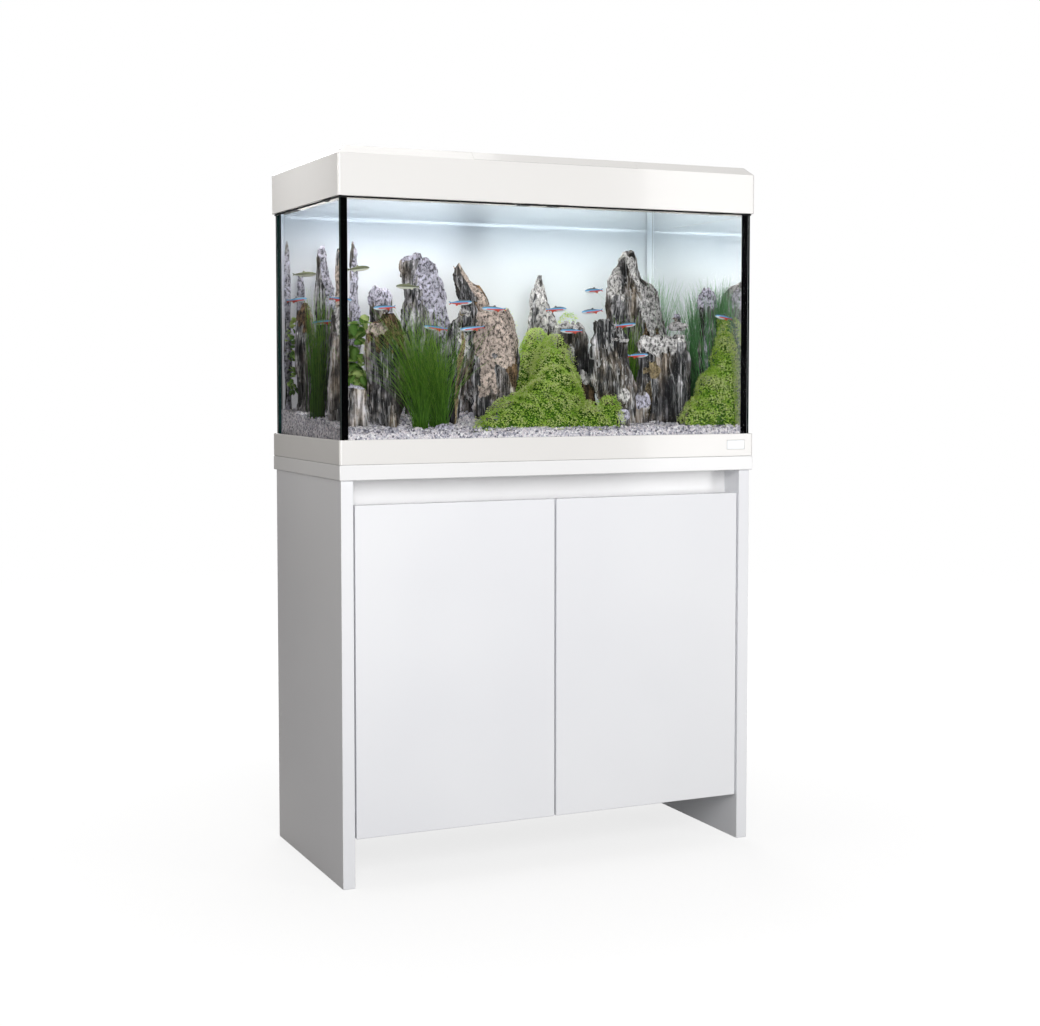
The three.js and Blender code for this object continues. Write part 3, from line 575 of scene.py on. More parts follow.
# outline: the front view, foot to top, as share of the height, left edge and right edge in half widths.
# patches: kind of weathering, its middle across and up, its reach across and up, and its lean.
# slant: how far the grain leans. ridged: how strongly even upright ridges show.
ROCKS = {
    "rock_brown_cap": dict(
        outline=[(0, -0.62, 0.25), (0.12, -0.78, 0.45), (0.3, -0.88, 0.72), (0.5, -0.95, 1.0),
                 (0.7, -0.97, 0.78), (0.85, -0.95, 0.45), (0.92, -0.8, 0.36), (1, -0.35, 0.18)],
        patches=[("brown", 0.1, 1.0, 1.4, 0.30, 0), ("crust", 0.72, 0.62, 0.16, 0.24, -0.9),
                 ("crust", -0.6, 0.86, 0.4, 0.05, -0.3)],
        crust=PINK, slant=0.12, ridged=0.9),
    "rock_pale_shoulder": dict(
        outline=[(0, -0.85, 0.95), (0.55, -1, 1.0), (0.68, -1, 0.9), (0.82, -1, 0.65), (0.92, -0.98, 0.4),
                 (0.97, -0.9, 0.1), (1, -0.5, -0.2)],
        patches=[("crust", 0.55, 0.74, 0.95, 0.30, -1.6), ("crust", -0.3, 0.99, 0.9, 0.05, 0)],
        crust=LILAC, slant=-0.30, ridged=0.1),
    "rock_small_pale": dict(
        outline=[(0, -1, 0.9), (0.6, -1, 1.0), (0.72, -0.8, 1.0), (0.92, -0.9, 1.0), (1, -0.6, 0.8)],
        patches=[("crust", 0, 0.95, 1.5, 0.12, 0), ("crust", 0.5, 0.6, 0.6, 0.2, 0)],
        crust=LILAC, slant=0.1, ridged=0.1),
    "rock_slanted_peak": dict(
        outline=[(0, -0.6, 1.0), (0.4, -0.5, 1.0), (0.68, -0.4, 1.0), (0.76, -0.7, 0.78), (0.86, -0.97, 0.35),
                 (0.94, -1.0, -0.35), (1, -0.95, -0.72)],
        patches=[("crust", 0.1, 0.8, 0.28, 0.4, -4.0), ("brown", 0.6, 0.7, 0.5, 0.3, -3.0)],
        crust=PINK, slant=0.55, ridged=0.5),
    "rock_gold_streak": dict(
        outline=[(0, -1.0, -0.2), (0.1, -1.0, 0.05), (0.3, -1.0, 0.7), (0.6, -1.0, 0.95), (0.8, -0.93, 1.0),
                 (0.88, -0.8, 0.95), (0.95, -0.25, 0.85), (1, 0.35, 0.7)],
        patches=[("gold", -0.28, 0.45, 0.16, 0.42, 0.9), ("crust", 0.1, 0.73, 0.42, 0.11, -1.2),
                 ("crust", 0.3, 0.99, 0.8, 0.03, 0), ("crust", -0.5, 0.2, 0.12, 0.25, 0)],
        crust=CHALK, slant=-0.25, ridged=1.1),
    "rock_broad_brown": dict(
        outline=[(0, -0.95, 0.6), (0.2, -1, 0.75), (0.4, -1, 0.95), (0.6, -1, 1.0), (0.76, -0.98, 0.92),
                 (0.86, -0.95, 0.8), (0.94, -0.85, 0.62), (1, -0.5, 0.4)],
        patches=[("crust", 0, 0.85, 1.6, 0.30, 0.3), ("crust", -0.5, 0.45, 0.3, 0.25, 0),
                 ("brown", 0.45, 0.45, 0.35, 0.2, 0)],
        crust=PINK, slant=0.4, ridged=0.0),
    "rock_back_peak": dict(
        outline=[(0, -1, 1), (0.35, -1, 1), (0.5, -0.86, 0.9), (0.7, -0.56, 0.64), (0.9, -0.28, 0.3),
                 (1, -0.08, 0.06)],
        patches=[("crust", -0.1, 0.75, 0.35, 0.3, 0.5), ("crust", 0.55, 0.5, 0.25, 0.25, -1),
                 ("brown", -0.4, 0.25, 0.4, 0.2, 0)],
        crust=CHALK, slant=0.05, ridged=0.5),
    "rock_pale_block": dict(
        outline=[(0, -0.4, 1.0), (0.12, -0.65, 1.0), (0.3, -0.95, 1.0), (0.5, -0.95, 1.0), (0.8, -0.88, 0.62),
                 (0.95, -1.0, 0.42), (1, -0.85, 0.25)],
        patches=[("crust", -0.2, 0.97, 0.9, 0.05, 0), ("crust", -0.5, 0.62, 0.2, 0.12, 0),
                 ("brown", 0.2, 0.25, 0.8, 0.2, 0), ("crust", 0.4, 0.45, 0.3, 0.06, -2)],
        crust=CHALK, slant=0.05, ridged=0.8),
    "rock_leaning_slate": dict(
        outline=[(0, 0.25, 0.92), (0.1, 0.0, 1.0), (0.25, -0.4, 1.0), (0.45, -0.8, 0.94), (0.65, -1.0, 0.76),
                 (0.85, -1.0, 0.5), (0.95, -0.95, 0.25), (1, -0.85, -0.1)],
        patches=[("crust", 0.35, 0.80, 0.45, 0.02, 0.5), ("crust", 0.15, 0.99, 0.4, 0.03, 0),
                 ("crust", 0.3, 0.3, 0.22, 0.05, -1)],
        crust=CHALK, slant=0.36, ridged=1.2),
    "rock_tall_peak": dict(
        outline=[(0, -1, 1), (0.52, -1, 1), (0.66, -0.93, 0.92), (0.74, -0.88, 0.8), (0.79, -0.85, 0.6),
                 (0.83, -0.82, 0.18), (0.89, -0.74, -0.0), (0.96, -0.58, 0.0), (1, -0.42, -0.08)],
        patches=[("crust", 0.42, 0.66, 0.42, 0.16, -0.8), ("crust", -0.3, 0.93, 0.2, 0.07, -2),
                 ("crust", -0.72, 0.82, 0.12, 0.12, 0), ("brown", 0.4, 0.45, 0.4, 0.16, 0),
                 ("crust", 0.02, 0.76, 0.1, 0.14, -2)],
        crust=CHALK, slant=0.14, ridged=0.5),
    "rock_white_cap": dict(
        outline=[(0, -0.42, 0.25), (0.1, -0.7, 0.72), (0.25, -0.88, 1.0), (0.5, -0.94, 1.0),
                 (0.76, -0.96, 0.9), (0.86, -1.0, 0.78), (0.94, -0.92, 0.68), (1, -0.75, 0.6)],
        patches=[("crust", -0.32, 0.90, 0.62, 0.13, 0.2), ("gold", -0.55, 0.60, 0.24, 0.08, 0),
                 ("gold", -0.62, 0.3, 0.09, 0.28, 0), ("crust", 0.55, 0.98, 0.3, 0.03, 0)],
        crust=CHALK, slant=0.02, ridged=1.3),
    "rock_right_slab": dict(
        outline=[(0, -0.9, 1), (0.7, -1, 1), (0.9, -1, 0.88), (0.96, -0.9, 0.7), (1, -0.6, 0.3)],
        patches=[("crust", 0, 0.93, 1.5, 0.07, 0), ("crust", -0.3, 0.6, 0.2, 0.3, 0),
                 ("crust", 0.5, 0.5, 0.2, 0.3, 0)],
        crust=LILAC, slant=0.0, ridged=0.7),
    "rock_left_front": dict(
        outline=[(0, -1.0, 0.6), (0.3, -1.0, 0.9), (0.7, -1.0, 1.0), (0.88, -0.8, 0.9), (1, -0.2, 0.5)],
        patches=[("gold", 0.1, 0.4, 0.35, 0.4, 0.3), ("crust", 0.2, 0.85, 0.7, 0.14, 0),
                 ("crust", 0.4, 0.6, 0.3, 0.1, 0)],
        crust=CHALK, slant=0.1, ridged=0.4),
    "rock_left_brown": dict(
        outline=[(0, -0.8, 0.9), (0.5, -0.95, 1.0), (0.8, -0.95, 0.7), (0.92, -0.6, 0.5), (1, 0.0, 0.35)],
        patches=[("brown", 0.1, 0.95, 1.4, 0.28, 0), ("crust", 0.5, 0.7, 0.25, 0.25, -0.6)],
        crust=PINK, slant=0.05, ridged=0.3),
    "rock_left_back": dict(
        outline=[(0, -0.9, 0.9), (0.55, -1.0, 1.0), (0.75, -1.0, 0.9), (0.95, -0.9, 0.5), (1, -0.5, 0.1)],
        patches=[("crust", 0.5, 0.8, 0.9, 0.3, -1.8), ("crust", -0.2, 0.99, 0.9, 0.04, 0)],
        crust=LILAC, slant=-0.1, ridged=0.2),
}

# Stones too small for a solid of their own: middle and half size, all in metres, then weathering as above.
BLOCK = [(0, -0.9, 0.9), (0.5, -1, 1), (0.85, -0.85, 0.8), (1, -0.4, 0.3)]
SPIRE = [(0, -1, 1), (0.4, -0.95, 1), (0.8, -0.8, 0.8), (0.94, -0.7, 0.6), (1, -0.4, 0.2)]
STONES = {
    "stone_front_left": ((-0.350, -0.120, 0.812), (0.019, 0.020, 0.050), BLOCK, LILAC, 0.06),
    "stone_corner": ((-0.322, -0.020, 0.850), (0.011, 0.012, 0.082), BLOCK, LILAC, 0.7),
    "spire_pale": ((-0.271, 0.120, 0.960), (0.012, 0.012, 0.165), SPIRE, LILAC, 0.95),
    "spire_corner": ((-0.383, 0.172, 0.945), (0.008, 0.007, 0.180), SPIRE, LILAC, 0.9),
    "stone_lilac_left": ((-0.357, 0.172, 0.935), (0.011, 0.008, 0.132), BLOCK, LILAC, 0.8),
    "slab_left": ((-0.322, 0.050, 0.950), (0.008, 0.020, 0.156), SPIRE, PINK, 0.5),
    "stone_on_cap": ((0.288, -0.112, 0.968), (0.020, 0.016, 0.008), BLOCK, CHALK, 0.95),
    "stone_on_cap_small": ((0.290, -0.110, 0.982), (0.011, 0.010, 0.009), BLOCK, LILAC, 0.6),
    "stone_gold_foot": ((-0.086, -0.128, 0.796), (0.024, 0.014, 0.011), BLOCK, LILAC, 0.9),
    "stone_grass_foot": ((-0.205, -0.166, 0.786), (0.018, 0.009, 0.006), BLOCK, LILAC, 0.9),
    "stone_slate_foot": ((0.150, -0.160, 0.797), (0.014, 0.009, 0.017), BLOCK, LILAC, 0.6),
    "stone_between": ((0.205, -0.130, 0.815), (0.012, 0.012, 0.030), BLOCK, LILAC, 0.5),
}


# How far apart the points of a rock's mesh are, and how far it may stand past its solid.
ROCK_STEP_ROUND, ROCK_STEP_UP, ROCK_STEP_CAP = 0.0022, 0.0026, 0.005
ROCK_PROUD = 0.003
SPLITS, CUTS, BANDS = 9, 26, 60


def slate_material(name, crust, slant, ridged):
    """Split slate: upright dark and pale grain, thin white veins, crust, brown and gold by attribute, and
    painted shade and highlight by tone.
    """
    n = Nodes(name)
    turn = (0, math.atan(slant), 0)

    def upright(stretch, *look):
        return n.noise(n.place((1, 1, stretch), turn), *look)

    grain = upright(0.12, 110, 5, 0.66)
    streak = upright(0.05, 340, 3, 0.6)
    blotch = n.noise(n.place(), 34, 4, 0.6)
    mixed = n.total((0.55, grain), (0.45, streak), (0.42, n.math("SUBTRACT", blotch, 0.5)))
    shift = 0.04 * ridged
    slate = n.ramp(mixed, (0.38 + shift, rgb(26, 27, 30)), (0.455 + shift, rgb(62, 63, 66)),
                   (0.515 + shift, rgb(108, 108, 110)), (0.575 + shift, rgb(176, 174, 180)),
                   (0.63 + shift, rgb(232, 230, 236)))
    rusty = n.ramp(upright(0.5, 26, 3, 0.6), (0.46, 0.0), (0.66, 0.6))
    slate = n.mix(rusty, slate, n.ramp(mixed, (0.42, rgb(58, 50, 42)), (0.60, rgb(176, 156, 128))))
    vein = n.math("SUBTRACT", upright(0.07, 46, 3, 0.7), 0.5)
    slate = n.mix(n.ramp(n.math("ABSOLUTE", vein), (0.0, 0.75), (0.02, 0.0)), slate, rgb(206, 206, 208))
    speck = upright(0.7, 210, 5, 0.7)
    pits = n.ramp(speck, (0.40, 0.12), (0.48, 0.62), (0.56, 1.0), (0.68, 1.15))

    def weather(color, kind, tint, low):
        share = n.attribute(kind)
        ragged = n.total((1.9, n.math("SUBTRACT", grain, 0.5)), (1.0, share))
        cover = n.ramp(ragged, (low, 0.0), (low + 0.12, 1.0))
        cover = n.math("MULTIPLY", cover, n.ramp(share, (0.02, 0.0), (0.2, 1.0)))
        return n.mix(cover, color, n.mix(1.0, tint, pits, "MULTIPLY"))

    stain = n.mix(n.ramp(streak, (0.4, 0.0), (0.62, 1.0)), rgb(74, 62, 50), BROWN)
    pale = n.mix(n.ramp(blotch, (0.35, 0.0), (0.65, 1.0)), shaded(crust, 0.62), crust)
    color = weather(slate, "brown", stain, 0.5)
    color = weather(color, "crust", pale, 0.45)
    color = weather(color, "gold", n.mix(streak, rgb(108, 92, 66), GOLD), 0.55)
    # painted shade and highlight: tone is darker where the rock's relief sinks in and lighter where it stands
    # out
    dark = n.ramp(n.attribute("tone"), (0.12, 0.22), (0.42, 0.95), (0.85, 1.3))
    height = n.total((0.6, grain), (0.4, streak), (0.5, speck))
    return n.done(n.shader(Base_Color=n.mix(1.0, color, dark, "MULTIPLY"), Roughness=0.8,
                           Specular_IOR_Level=0.3, Normal=n.bump(height, 0.9, 0.003)))


def patch_share(across, up, patches, kind, rough):
    """How strongly a kind of weathering covers each point, from 0 to 1, with ragged borders."""
    total = np.zeros(len(across))
    for what, u, v, reach_u, reach_v, lean in patches:
        if what == kind:
            du = (across - u - lean * (up - v)) / reach_u
            d = np.sqrt(du ** 2 + ((up - v) / reach_v) ** 2) + (rough - 0.5) * 1.5
            total = np.maximum(total, np.clip((1.15 - d) / 0.3, 0, 1))
    return total


def edges(outline, share):
    """The left and right edge of an outline at shares of its height, in half widths."""
    rows = np.array(outline)
    return np.interp(share, rows[:, 0], rows[:, 1]), np.interp(share, rows[:, 0], rows[:, 2])


def angular_plan(rng, around):
    """A plan of flat splits, stretched to reach from -1 to 1 both ways."""
    angle = np.linspace(0, 2 * math.pi, around, endpoint=False)
    splits = np.sort(rng.uniform(0, 2 * math.pi, SPLITS))
    reach = rng.uniform(0.72, 1.0, SPLITS)
    facing = np.cos(angle[:, None] - splits[None])
    radius = 1 / np.max(np.maximum(facing, 0.05) / reach, axis=1)
    plan = np.stack([radius * np.cos(angle), radius * np.sin(angle)], 1)
    return (plan - plan.min(0)) / (plan.max(0) - plan.min(0)) * 2 - 1


def chisel(points, rng, size):
    """Cuts flat faces into a lump: what stands past each of some random planes is moved back onto it."""
    foot = points[:, 2].min()
    for _ in range(CUTS):
        heading = rng.uniform(0, 2 * math.pi)
        rise = rng.normal(0.12, 0.22)
        normal = np.array([math.cos(heading), math.sin(heading), rise])
        normal /= np.linalg.norm(normal)
        height = points[:, 2].min() + rng.uniform(0.1, 0.95) * np.ptp(points[:, 2])
        near = np.abs(points[:, 2] - height) < 0.05
        beyond = points @ normal
        limit = np.max(beyond[near]) - rng.uniform(0.04, 0.26) * size
        reach = np.clip(1.4 - np.abs(points[:, 2] - height) / 0.045, 0, 1)
        points = points - normal * (np.maximum(beyond - limit, 0) * reach)[:, None]
    points[:, 2] = np.maximum(points[:, 2], foot)
    return points


def fill_outline(x, share, outline, middle, half):
    """Spreads each level of a chiselled lump back to the left and right edges of its outline."""
    band = np.clip((share * BANDS).astype(int), 0, BANDS - 1)
    result = x.copy()
    for level in np.unique(band):
        here = band == level
        left, right = (middle + half * edge for edge in edges(outline, (level + 0.5) / BANDS))
        span = np.ptp(x[here])
        if span > 0.2 * (right - left):
            result[here] = left + (x[here] - x[here].min()) / span * (right - left)
    return result


def rock(name, low, high, outline, patches, crust, seed, slant=0.0, ridged=0.3):
    """A split stone whose front outline is given, with an angular plan, upright splits and a jagged top."""
    rng = np.random.default_rng(seed)
    size = high - low
    around = int(np.clip((size.x + size.y) * 1.8 / ROCK_STEP_ROUND, 40, 190))
    levels = int(np.clip(size.z / ROCK_STEP_UP, 12, 130))
    cap_rings = int(np.clip(min(size.x, size.y) / ROCK_STEP_CAP, 3, 12))
    middle_x, half_x = (low.x + high.x) / 2, size.x / 2
    middle_y, half_y = (low.y + high.y) / 2, size.y / 2
    slim = min(half_x, half_y)

    # a smooth lump of rings from foot to top, closed by shrinking rings and a tip
    plan = angular_plan(rng, around)
    share = np.repeat(np.linspace(0, 1, levels), around)
    left, right = edges(outline, share)
    side = np.tile(plan[:, 0], levels)
    depth = np.tile(plan[:, 1], levels) * (0.96 - 0.5 * share ** 3)
    points = np.stack([middle_x + half_x * ((left + right) / 2 + (right - left) / 2 * side),
                       middle_y + half_y * depth, low.z + size.z * share], 1)
    last = points[-around:]
    middle = last.mean(0)
    shrink = 1 - np.arange(1, cap_rings) / cap_rings
    cap = middle + (last - middle)[None] * np.stack([shrink, shrink, np.ones_like(shrink)], 1)[:, None]
    points = chisel(np.vstack([points, cap.reshape(-1, 3), middle]), rng, slim)

    # its outline again, and the weathering and relief at each point
    share = (points[:, 2] - low.z) / size.z
    points[:, 0] = fill_outline(points[:, 0], share, outline, middle_x, half_x)
    across = (points[:, 0] - middle_x) / half_x
    grain = points.copy()
    grain[:, 0] += slant * points[:, 2]

    def field(wide, tall, offset):
        return noise3(grain, (wide, wide, tall), seed + offset)

    rough = field(0.012, 0.03, 11) * 0.6 + field(0.005, 0.014, 12) * 0.4
    weather = {kind: patch_share(across, share, patches, kind, rough) for kind in ("crust", "brown", "gold")}
    split, ridge, fine = (np.abs(field(*look) * 2 - 1) for look in
                          ((0.010, 0.15, 0), (0.0062, 0.25, 4), (0.0038, 0.045, 5)))
    plates = field(0.024, 0.06, 9)
    plates = np.floor(plates * 6) / 6 * 0.7 + plates * 0.3
    lumps = noise3(points, 0.011, seed + 6) * 0.6 + noise3(points, 0.0048, seed + 7) * 0.4
    slate_push = 0.0052 * (split - 0.5) + 0.0034 * ridged * (ridge - 0.5) + 0.0028 * (fine - 0.5)
    crust_push = 0.0105 * (lumps - 0.45)
    soft = weather["crust"] * 0.85
    push = 0.016 * (plates - 0.42) + (1 - soft) * slate_push + soft * crust_push
    outward = points[:, :2] - [middle_x, middle_y]
    outward /= np.linalg.norm(outward, axis=1)[:, None] + 1e-6
    points[:, :2] += outward * (push * min(1.0, slim / 0.026))[:, None]

    # a jagged top, and everything back within reach of its solid and the panes
    jag = field(0.009, 0.2, 2) * 0.65 + field(0.004, 0.2, 3) * 0.35
    points[:, 2] -= np.clip((share - 0.66) / 0.34, 0, 1) ** 1.6 * (1 - jag) * min(0.020, size.z * 0.12)
    points[:, 2] += (lumps - 0.5) * 0.004 * (share > 0.9)
    points[:, 2] += high.z - points[:, 2].max()
    for axis, limit in ((0, GRAVEL_HIGH.x - 0.001), (1, GRAVEL_HIGH.y - 0.001)):
        points[:, axis] = np.clip(points[:, axis], max(low[axis] - ROCK_PROUD, -limit),
                                  min(high[axis] + ROCK_PROUD, limit))

    rings = levels + cap_rings - 1
    faces = tube_faces(rings, around).tolist() + fan_faces((rings - 1) * around, around, rings * around)
    faces.append(tuple(range(around - 1, -1, -1)))
    # Painted shade and highlight: darker where splits, ridges, plates and crust lumps were pushed in, lighter
    # where they stand out.
    crack_shade = (1 - soft) * (0.55 * split + 0.25 * fine + 0.45 * ridged * (ridge - 0.4)) + soft * lumps * 0.95
    tone = np.clip(0.12 + 0.8 * crack_shade + 0.45 * (plates - 0.35), 0, 1)
    stone = make_mesh(name, points, faces, slate_material(name + "_slate", crust, slant, ridged), tone)
    for kind, cover in weather.items():
        store(stone, kind, cover)
    stone.data.set_sharp_from_angle(angle=math.radians(40))
    return stone


def rocks():
    foot = Vector((0, 0, 0.012))
    stones = []
    for i, (name, look) in enumerate(ROCKS.items()):
        low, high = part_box(name)
        stone = rock(name + "_stone", low - foot, high, seed=50 + 3 * i, **look)
        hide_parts(name)
        stones.append(stone)
    for i, (name, (middle, half, outline, crust, pale)) in enumerate(STONES.items()):
        low, high = Vector(middle) - Vector(half), Vector(middle) + Vector(half)
        patches = [("crust", 0.2, 1 - pale / 2, 1.2, max(pale, 0.1) * 0.55, 0)]
        stones.append(rock(name, low, high, outline, patches, crust, seed=200 + 7 * i))
    return stones


def pebbles(count=150):
    """Loose stones from pea to thumb size, thickest about the feet of the rocks."""
    rng = np.random.default_rng(17)
    shape, faces = ball(2)
    shape *= (0.7 + 0.6 * noise3(shape, 0.8, 4.2))[:, None]
    feet = [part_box(name) for name in ROCKS]
    places, sizes = [], []
    for _ in range(count):
        low, high = feet[rng.integers(len(feet))]
        size = rng.uniform(0.0025, 0.0075)
        x = rng.uniform(low.x - 0.02, high.x + 0.02)
        y = low.y - rng.uniform(-0.004, 0.03)
        if abs(x) < GRAVEL_HIGH.x - 0.01 and abs(y) < GRAVEL_HIGH.y - 0.01:
            places.append((x, y, gravel_height(y) + size * 0.25))
            sizes.append(size)
    kept = len(sizes)
    stretch = np.array(sizes)[:, None] * rng.uniform([0.8, 0.7, 0.4], [1.5, 1.2, 0.8], (kept, 3))
    turns = random_turns(rng, kept, tilt=rng.uniform(0, 0.35, kept))
    points, cells = many(shape, faces, turns, stretch, np.array(places))
    tone = np.repeat(rng.uniform(0, 0.8, kept), len(shape))
    loose = make_mesh("pebbles", points, cells, chip_material(), tone, smooth=False)
    return loose


# ---------- plants ----------
DOME = 0.62                     # how bluntly a lobe of a bush rounds over
CARPET_LEAF = (0.0028, 0.0046)
WALL_GAP = {"leaf": 0.005, "stem": 0.010, "blade": 0.003}    # clear of the panes


def leaf_material(name, dark, light, tip):
    """From dark to light to tip by each leaf's tone, with fine veins, and lit through from behind."""
    n = Nodes(name)
    color = n.ramp(n.attribute("tone"), (0.0, dark), (0.5, light), (1.0, tip))
    vein = n.noise(n.place(), 700, 2)
    color = n.mix(n.math("MULTIPLY", vein, 0.16), color, dark)
    surface = n.shader(Base_Color=color, Roughness=0.5, Specular_IOR_Level=0.3,
                       Normal=n.bump(vein, 0.3, 0.0004))
    return n.done(n.blend(0.45, surface, n.first("BsdfTranslucent", {"Color": color})))


def small_leaf():
    """A tiny diamond leaf, thin but closed, growing along +X."""
    rim = [(0, 0, 0), (0.5, 0.36, 0.10), (1, 0, 0), (0.5, -0.36, 0.10)]
    points = np.array(rim + [(0.5, 0, 0.0), (0.5, 0, -0.07)], float)
    faces = [f for i in range(4) for f in ((i, 4, (i + 1) % 4), ((i + 1) % 4, 5, i))]
    return points, np.array(faces)


def large_leaf():
    """A rounded pointed leaf with a crease down its middle and a drooping tip, thin but closed."""
    t = np.array([0.0, 0.12, 0.3, 0.55, 0.8, 1.0])
    half = np.array([0.02, 0.20, 0.31, 0.32, 0.20, 0.0])
    drop = -0.22 * t ** 2
    left = np.stack([t, half, drop + 0.3 * half], 1)
    right = np.stack([t, -half, drop + 0.3 * half], 1)[1:-1]
    spine = np.stack([t, 0 * t, drop], 1)[1:-1]
    rim = np.vstack([left, right[::-1]])
    count = len(rim)
    points = np.vstack([rim, spine, spine - [0, 0, 0.03]])
    faces = []
    for layer in (0, 1):
        mid = [0] + [count + layer * 4 + i for i in range(4)] + [5]
        for side in (0, 1):
            edge = list(range(6)) if side == 0 else [0] + list(range(count - 1, 5, -1)) + [5]
            for i in range(5):
                corners = list(dict.fromkeys([mid[i], mid[i + 1], edge[i + 1], edge[i]]))
                corners = corners[::-1] if (side == 1) != (layer == 1) else corners
                faces += [(corners[0], corners[j], corners[j + 1]) for j in range(1, len(corners) - 1)]
    return points, np.array(faces)


def within_tank(points, margin):
    x_ok = np.abs(points[..., 0]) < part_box("glass_right")[0].x - margin
    y_ok = np.abs(points[..., 1]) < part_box("glass_back")[0].y - margin
    return x_ok & y_ok


def unit(vectors):
    return vectors / np.linalg.norm(vectors, axis=1)[:, None]


def scatter_leaves(name, shape, places, facing, sizes, material, rng, tone, spread):
    """Leaves at places, each roughly facing the way given and turned at random about it."""
    points, faces = shape
    facing = unit(facing + rng.normal(0, spread, facing.shape))
    along = unit(np.cross(facing, rng.normal(0, 1, facing.shape)))
    turns = np.stack([along, np.cross(facing, along), facing], 2)
    reach = places[:, None] + along[:, None] * sizes[:, None, None] * np.array([0, 1])[None, :, None]
    keep = within_tank(reach, 0.003).all(1)
    local = np.repeat(sizes[keep][:, None], 3, 1)
    all_points, cells = many(points, faces, turns[keep], local, places[keep])
    leaves = make_mesh(name, all_points, cells, material, np.repeat(tone[keep], len(points)))
    return leaves


def buried(points):
    """True where a point is inside one of the large rocks."""
    inside = np.zeros(len(points), bool)
    for name, look in ROCKS.items():
        low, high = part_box(name)
        share = (points[:, 2] - low.z) / (high.z - low.z)
        left, right = edges(look["outline"], share)
        across = (points[:, 0] - (low.x + high.x) / 2) / ((high.x - low.x) / 2)
        u = (across - (left + right) / 2) / ((right - left) / 2 + 1e-6)
        w = (points[:, 1] - (low.y + high.y) / 2) / ((high.y - low.y) / 2)
        inside |= (u ** 2 + w ** 2 < 0.75) & (share < 1)
    return inside


def mound_height(x, y, lobes):
    """Height of a low bush above the gravel: the highest of its lobes (x, y, reach in x and y, height)."""
    top = np.zeros_like(x)
    for cx, cy, rx, ry, height in lobes:
        d = ((x - cx) / rx) ** 2 + ((y - cy) / ry) ** 2
        top = np.maximum(top, height * np.clip(1 - d, 0, 1) ** DOME)
    return top


def side_spots(lobes, count, rng):
    """Points and outward directions on the steep sides of a bush, even in height."""
    lobes = np.array(lobes)
    weight = (lobes[:, 2] + lobes[:, 3]) * lobes[:, 4]
    cx, cy, rx, ry, height = lobes[rng.choice(len(lobes), count, p=weight / weight.sum())].T
    around = rng.uniform(0, 2 * math.pi, count)
    share = rng.uniform(0, 1, count)
    reach = np.sqrt(1 - share ** (1 / DOME))
    x, y = cx + rx * reach * np.cos(around), cy + ry * reach * np.sin(around)
    outermost = share * height > mound_height(x, y, lobes) - 0.002
    spots = np.stack([x, y, gravel_height(y) + share * height], 1)
    normal = unit(np.stack([np.cos(around) / rx, np.sin(around) / ry, 25 * share], 1))
    return spots[outermost], normal[outermost]


def carpet(name, replaces, lobes, count, seed, material, core):
    """A bush of tiny leaves in clumps on an uneven mass of stems."""
    rng = np.random.default_rng(seed)
    box = np.array([(cx - rx, cx + rx, cy - ry, cy + ry) for cx, cy, rx, ry, _ in lobes])
    x = rng.uniform(box[:, 0].min(), box[:, 1].max(), count * 8)
    y = rng.uniform(box[:, 2].min(), box[:, 3].max(), count * 8)
    h = mound_height(x, y, lobes)
    step = 0.002
    slope_x = (mound_height(x + step, y, lobes) - mound_height(x - step, y, lobes)) / (2 * step)
    slope_y = (mound_height(x, y + step, lobes) - mound_height(x, y - step, lobes)) / (2 * step)
    steep = np.sqrt(1 + slope_x ** 2 + slope_y ** 2)
    keep = (h > 0.002) & (rng.uniform(0, 1, len(x)) < np.clip(steep / 5, 0.2, 1))
    side, side_normal = side_spots(lobes, count, rng)
    over = np.flatnonzero(keep)[:count - len(side)]
    x, y, h = x[over], y[over], h[over]
    normal = unit(np.stack([-slope_x[over], -slope_y[over], np.ones(len(x))], 1))
    spots = np.stack([x, y, gravel_height(y) + h], 1)
    spots, normal = np.vstack([spots, side]), np.vstack([normal, side_normal])
    clump = noise3(spots, 0.012, seed) * 0.65 + noise3(spots, 0.006, seed + 2) * 0.35
    spots += normal * ((clump - 0.08) * 0.017)[:, None] + rng.normal(0, 0.0013, spots.shape)
    limit = np.array([GRAVEL_HIGH.x, GRAVEL_HIGH.y]) - WALL_GAP["leaf"]
    at_wall = (np.abs(spots[:, :2]) > limit).any(1)
    spots[:, :2] = np.clip(spots[:, :2], -limit, limit)
    foot = gravel_height(spots[:, 1])
    rise = mound_height(spots[:, 0], spots[:, 1], lobes) * rng.uniform(0, 1, len(spots))
    spots[:, 2] = np.where(at_wall, foot + rise, spots[:, 2])
    ok = within_tank(spots, 0.004) & ~buried(spots)
    spots, normal, clump = spots[ok], normal[ok], clump[ok]
    # Painted light and shade: leaves that the clumps push further out are lighter and those deeper in are
    # darker, with random tone besides.
    tone = np.clip((clump - 0.5) * 1.8 + 0.62 + rng.normal(0, 0.16, len(spots)), 0, 1)
    leaves = scatter_leaves(name, small_leaf(), spots, normal + [0, -0.15, 0.8],
                            rng.uniform(*CARPET_LEAF, len(spots)), material, rng, tone, 0.5)
    if replaces:
        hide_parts(replaces)
    # the stem mass below takes the core colour, which is painted shade seen between the leaves
    under = mound_core(name + "_stems", lobes, core, seed)
    return [leaves, under]


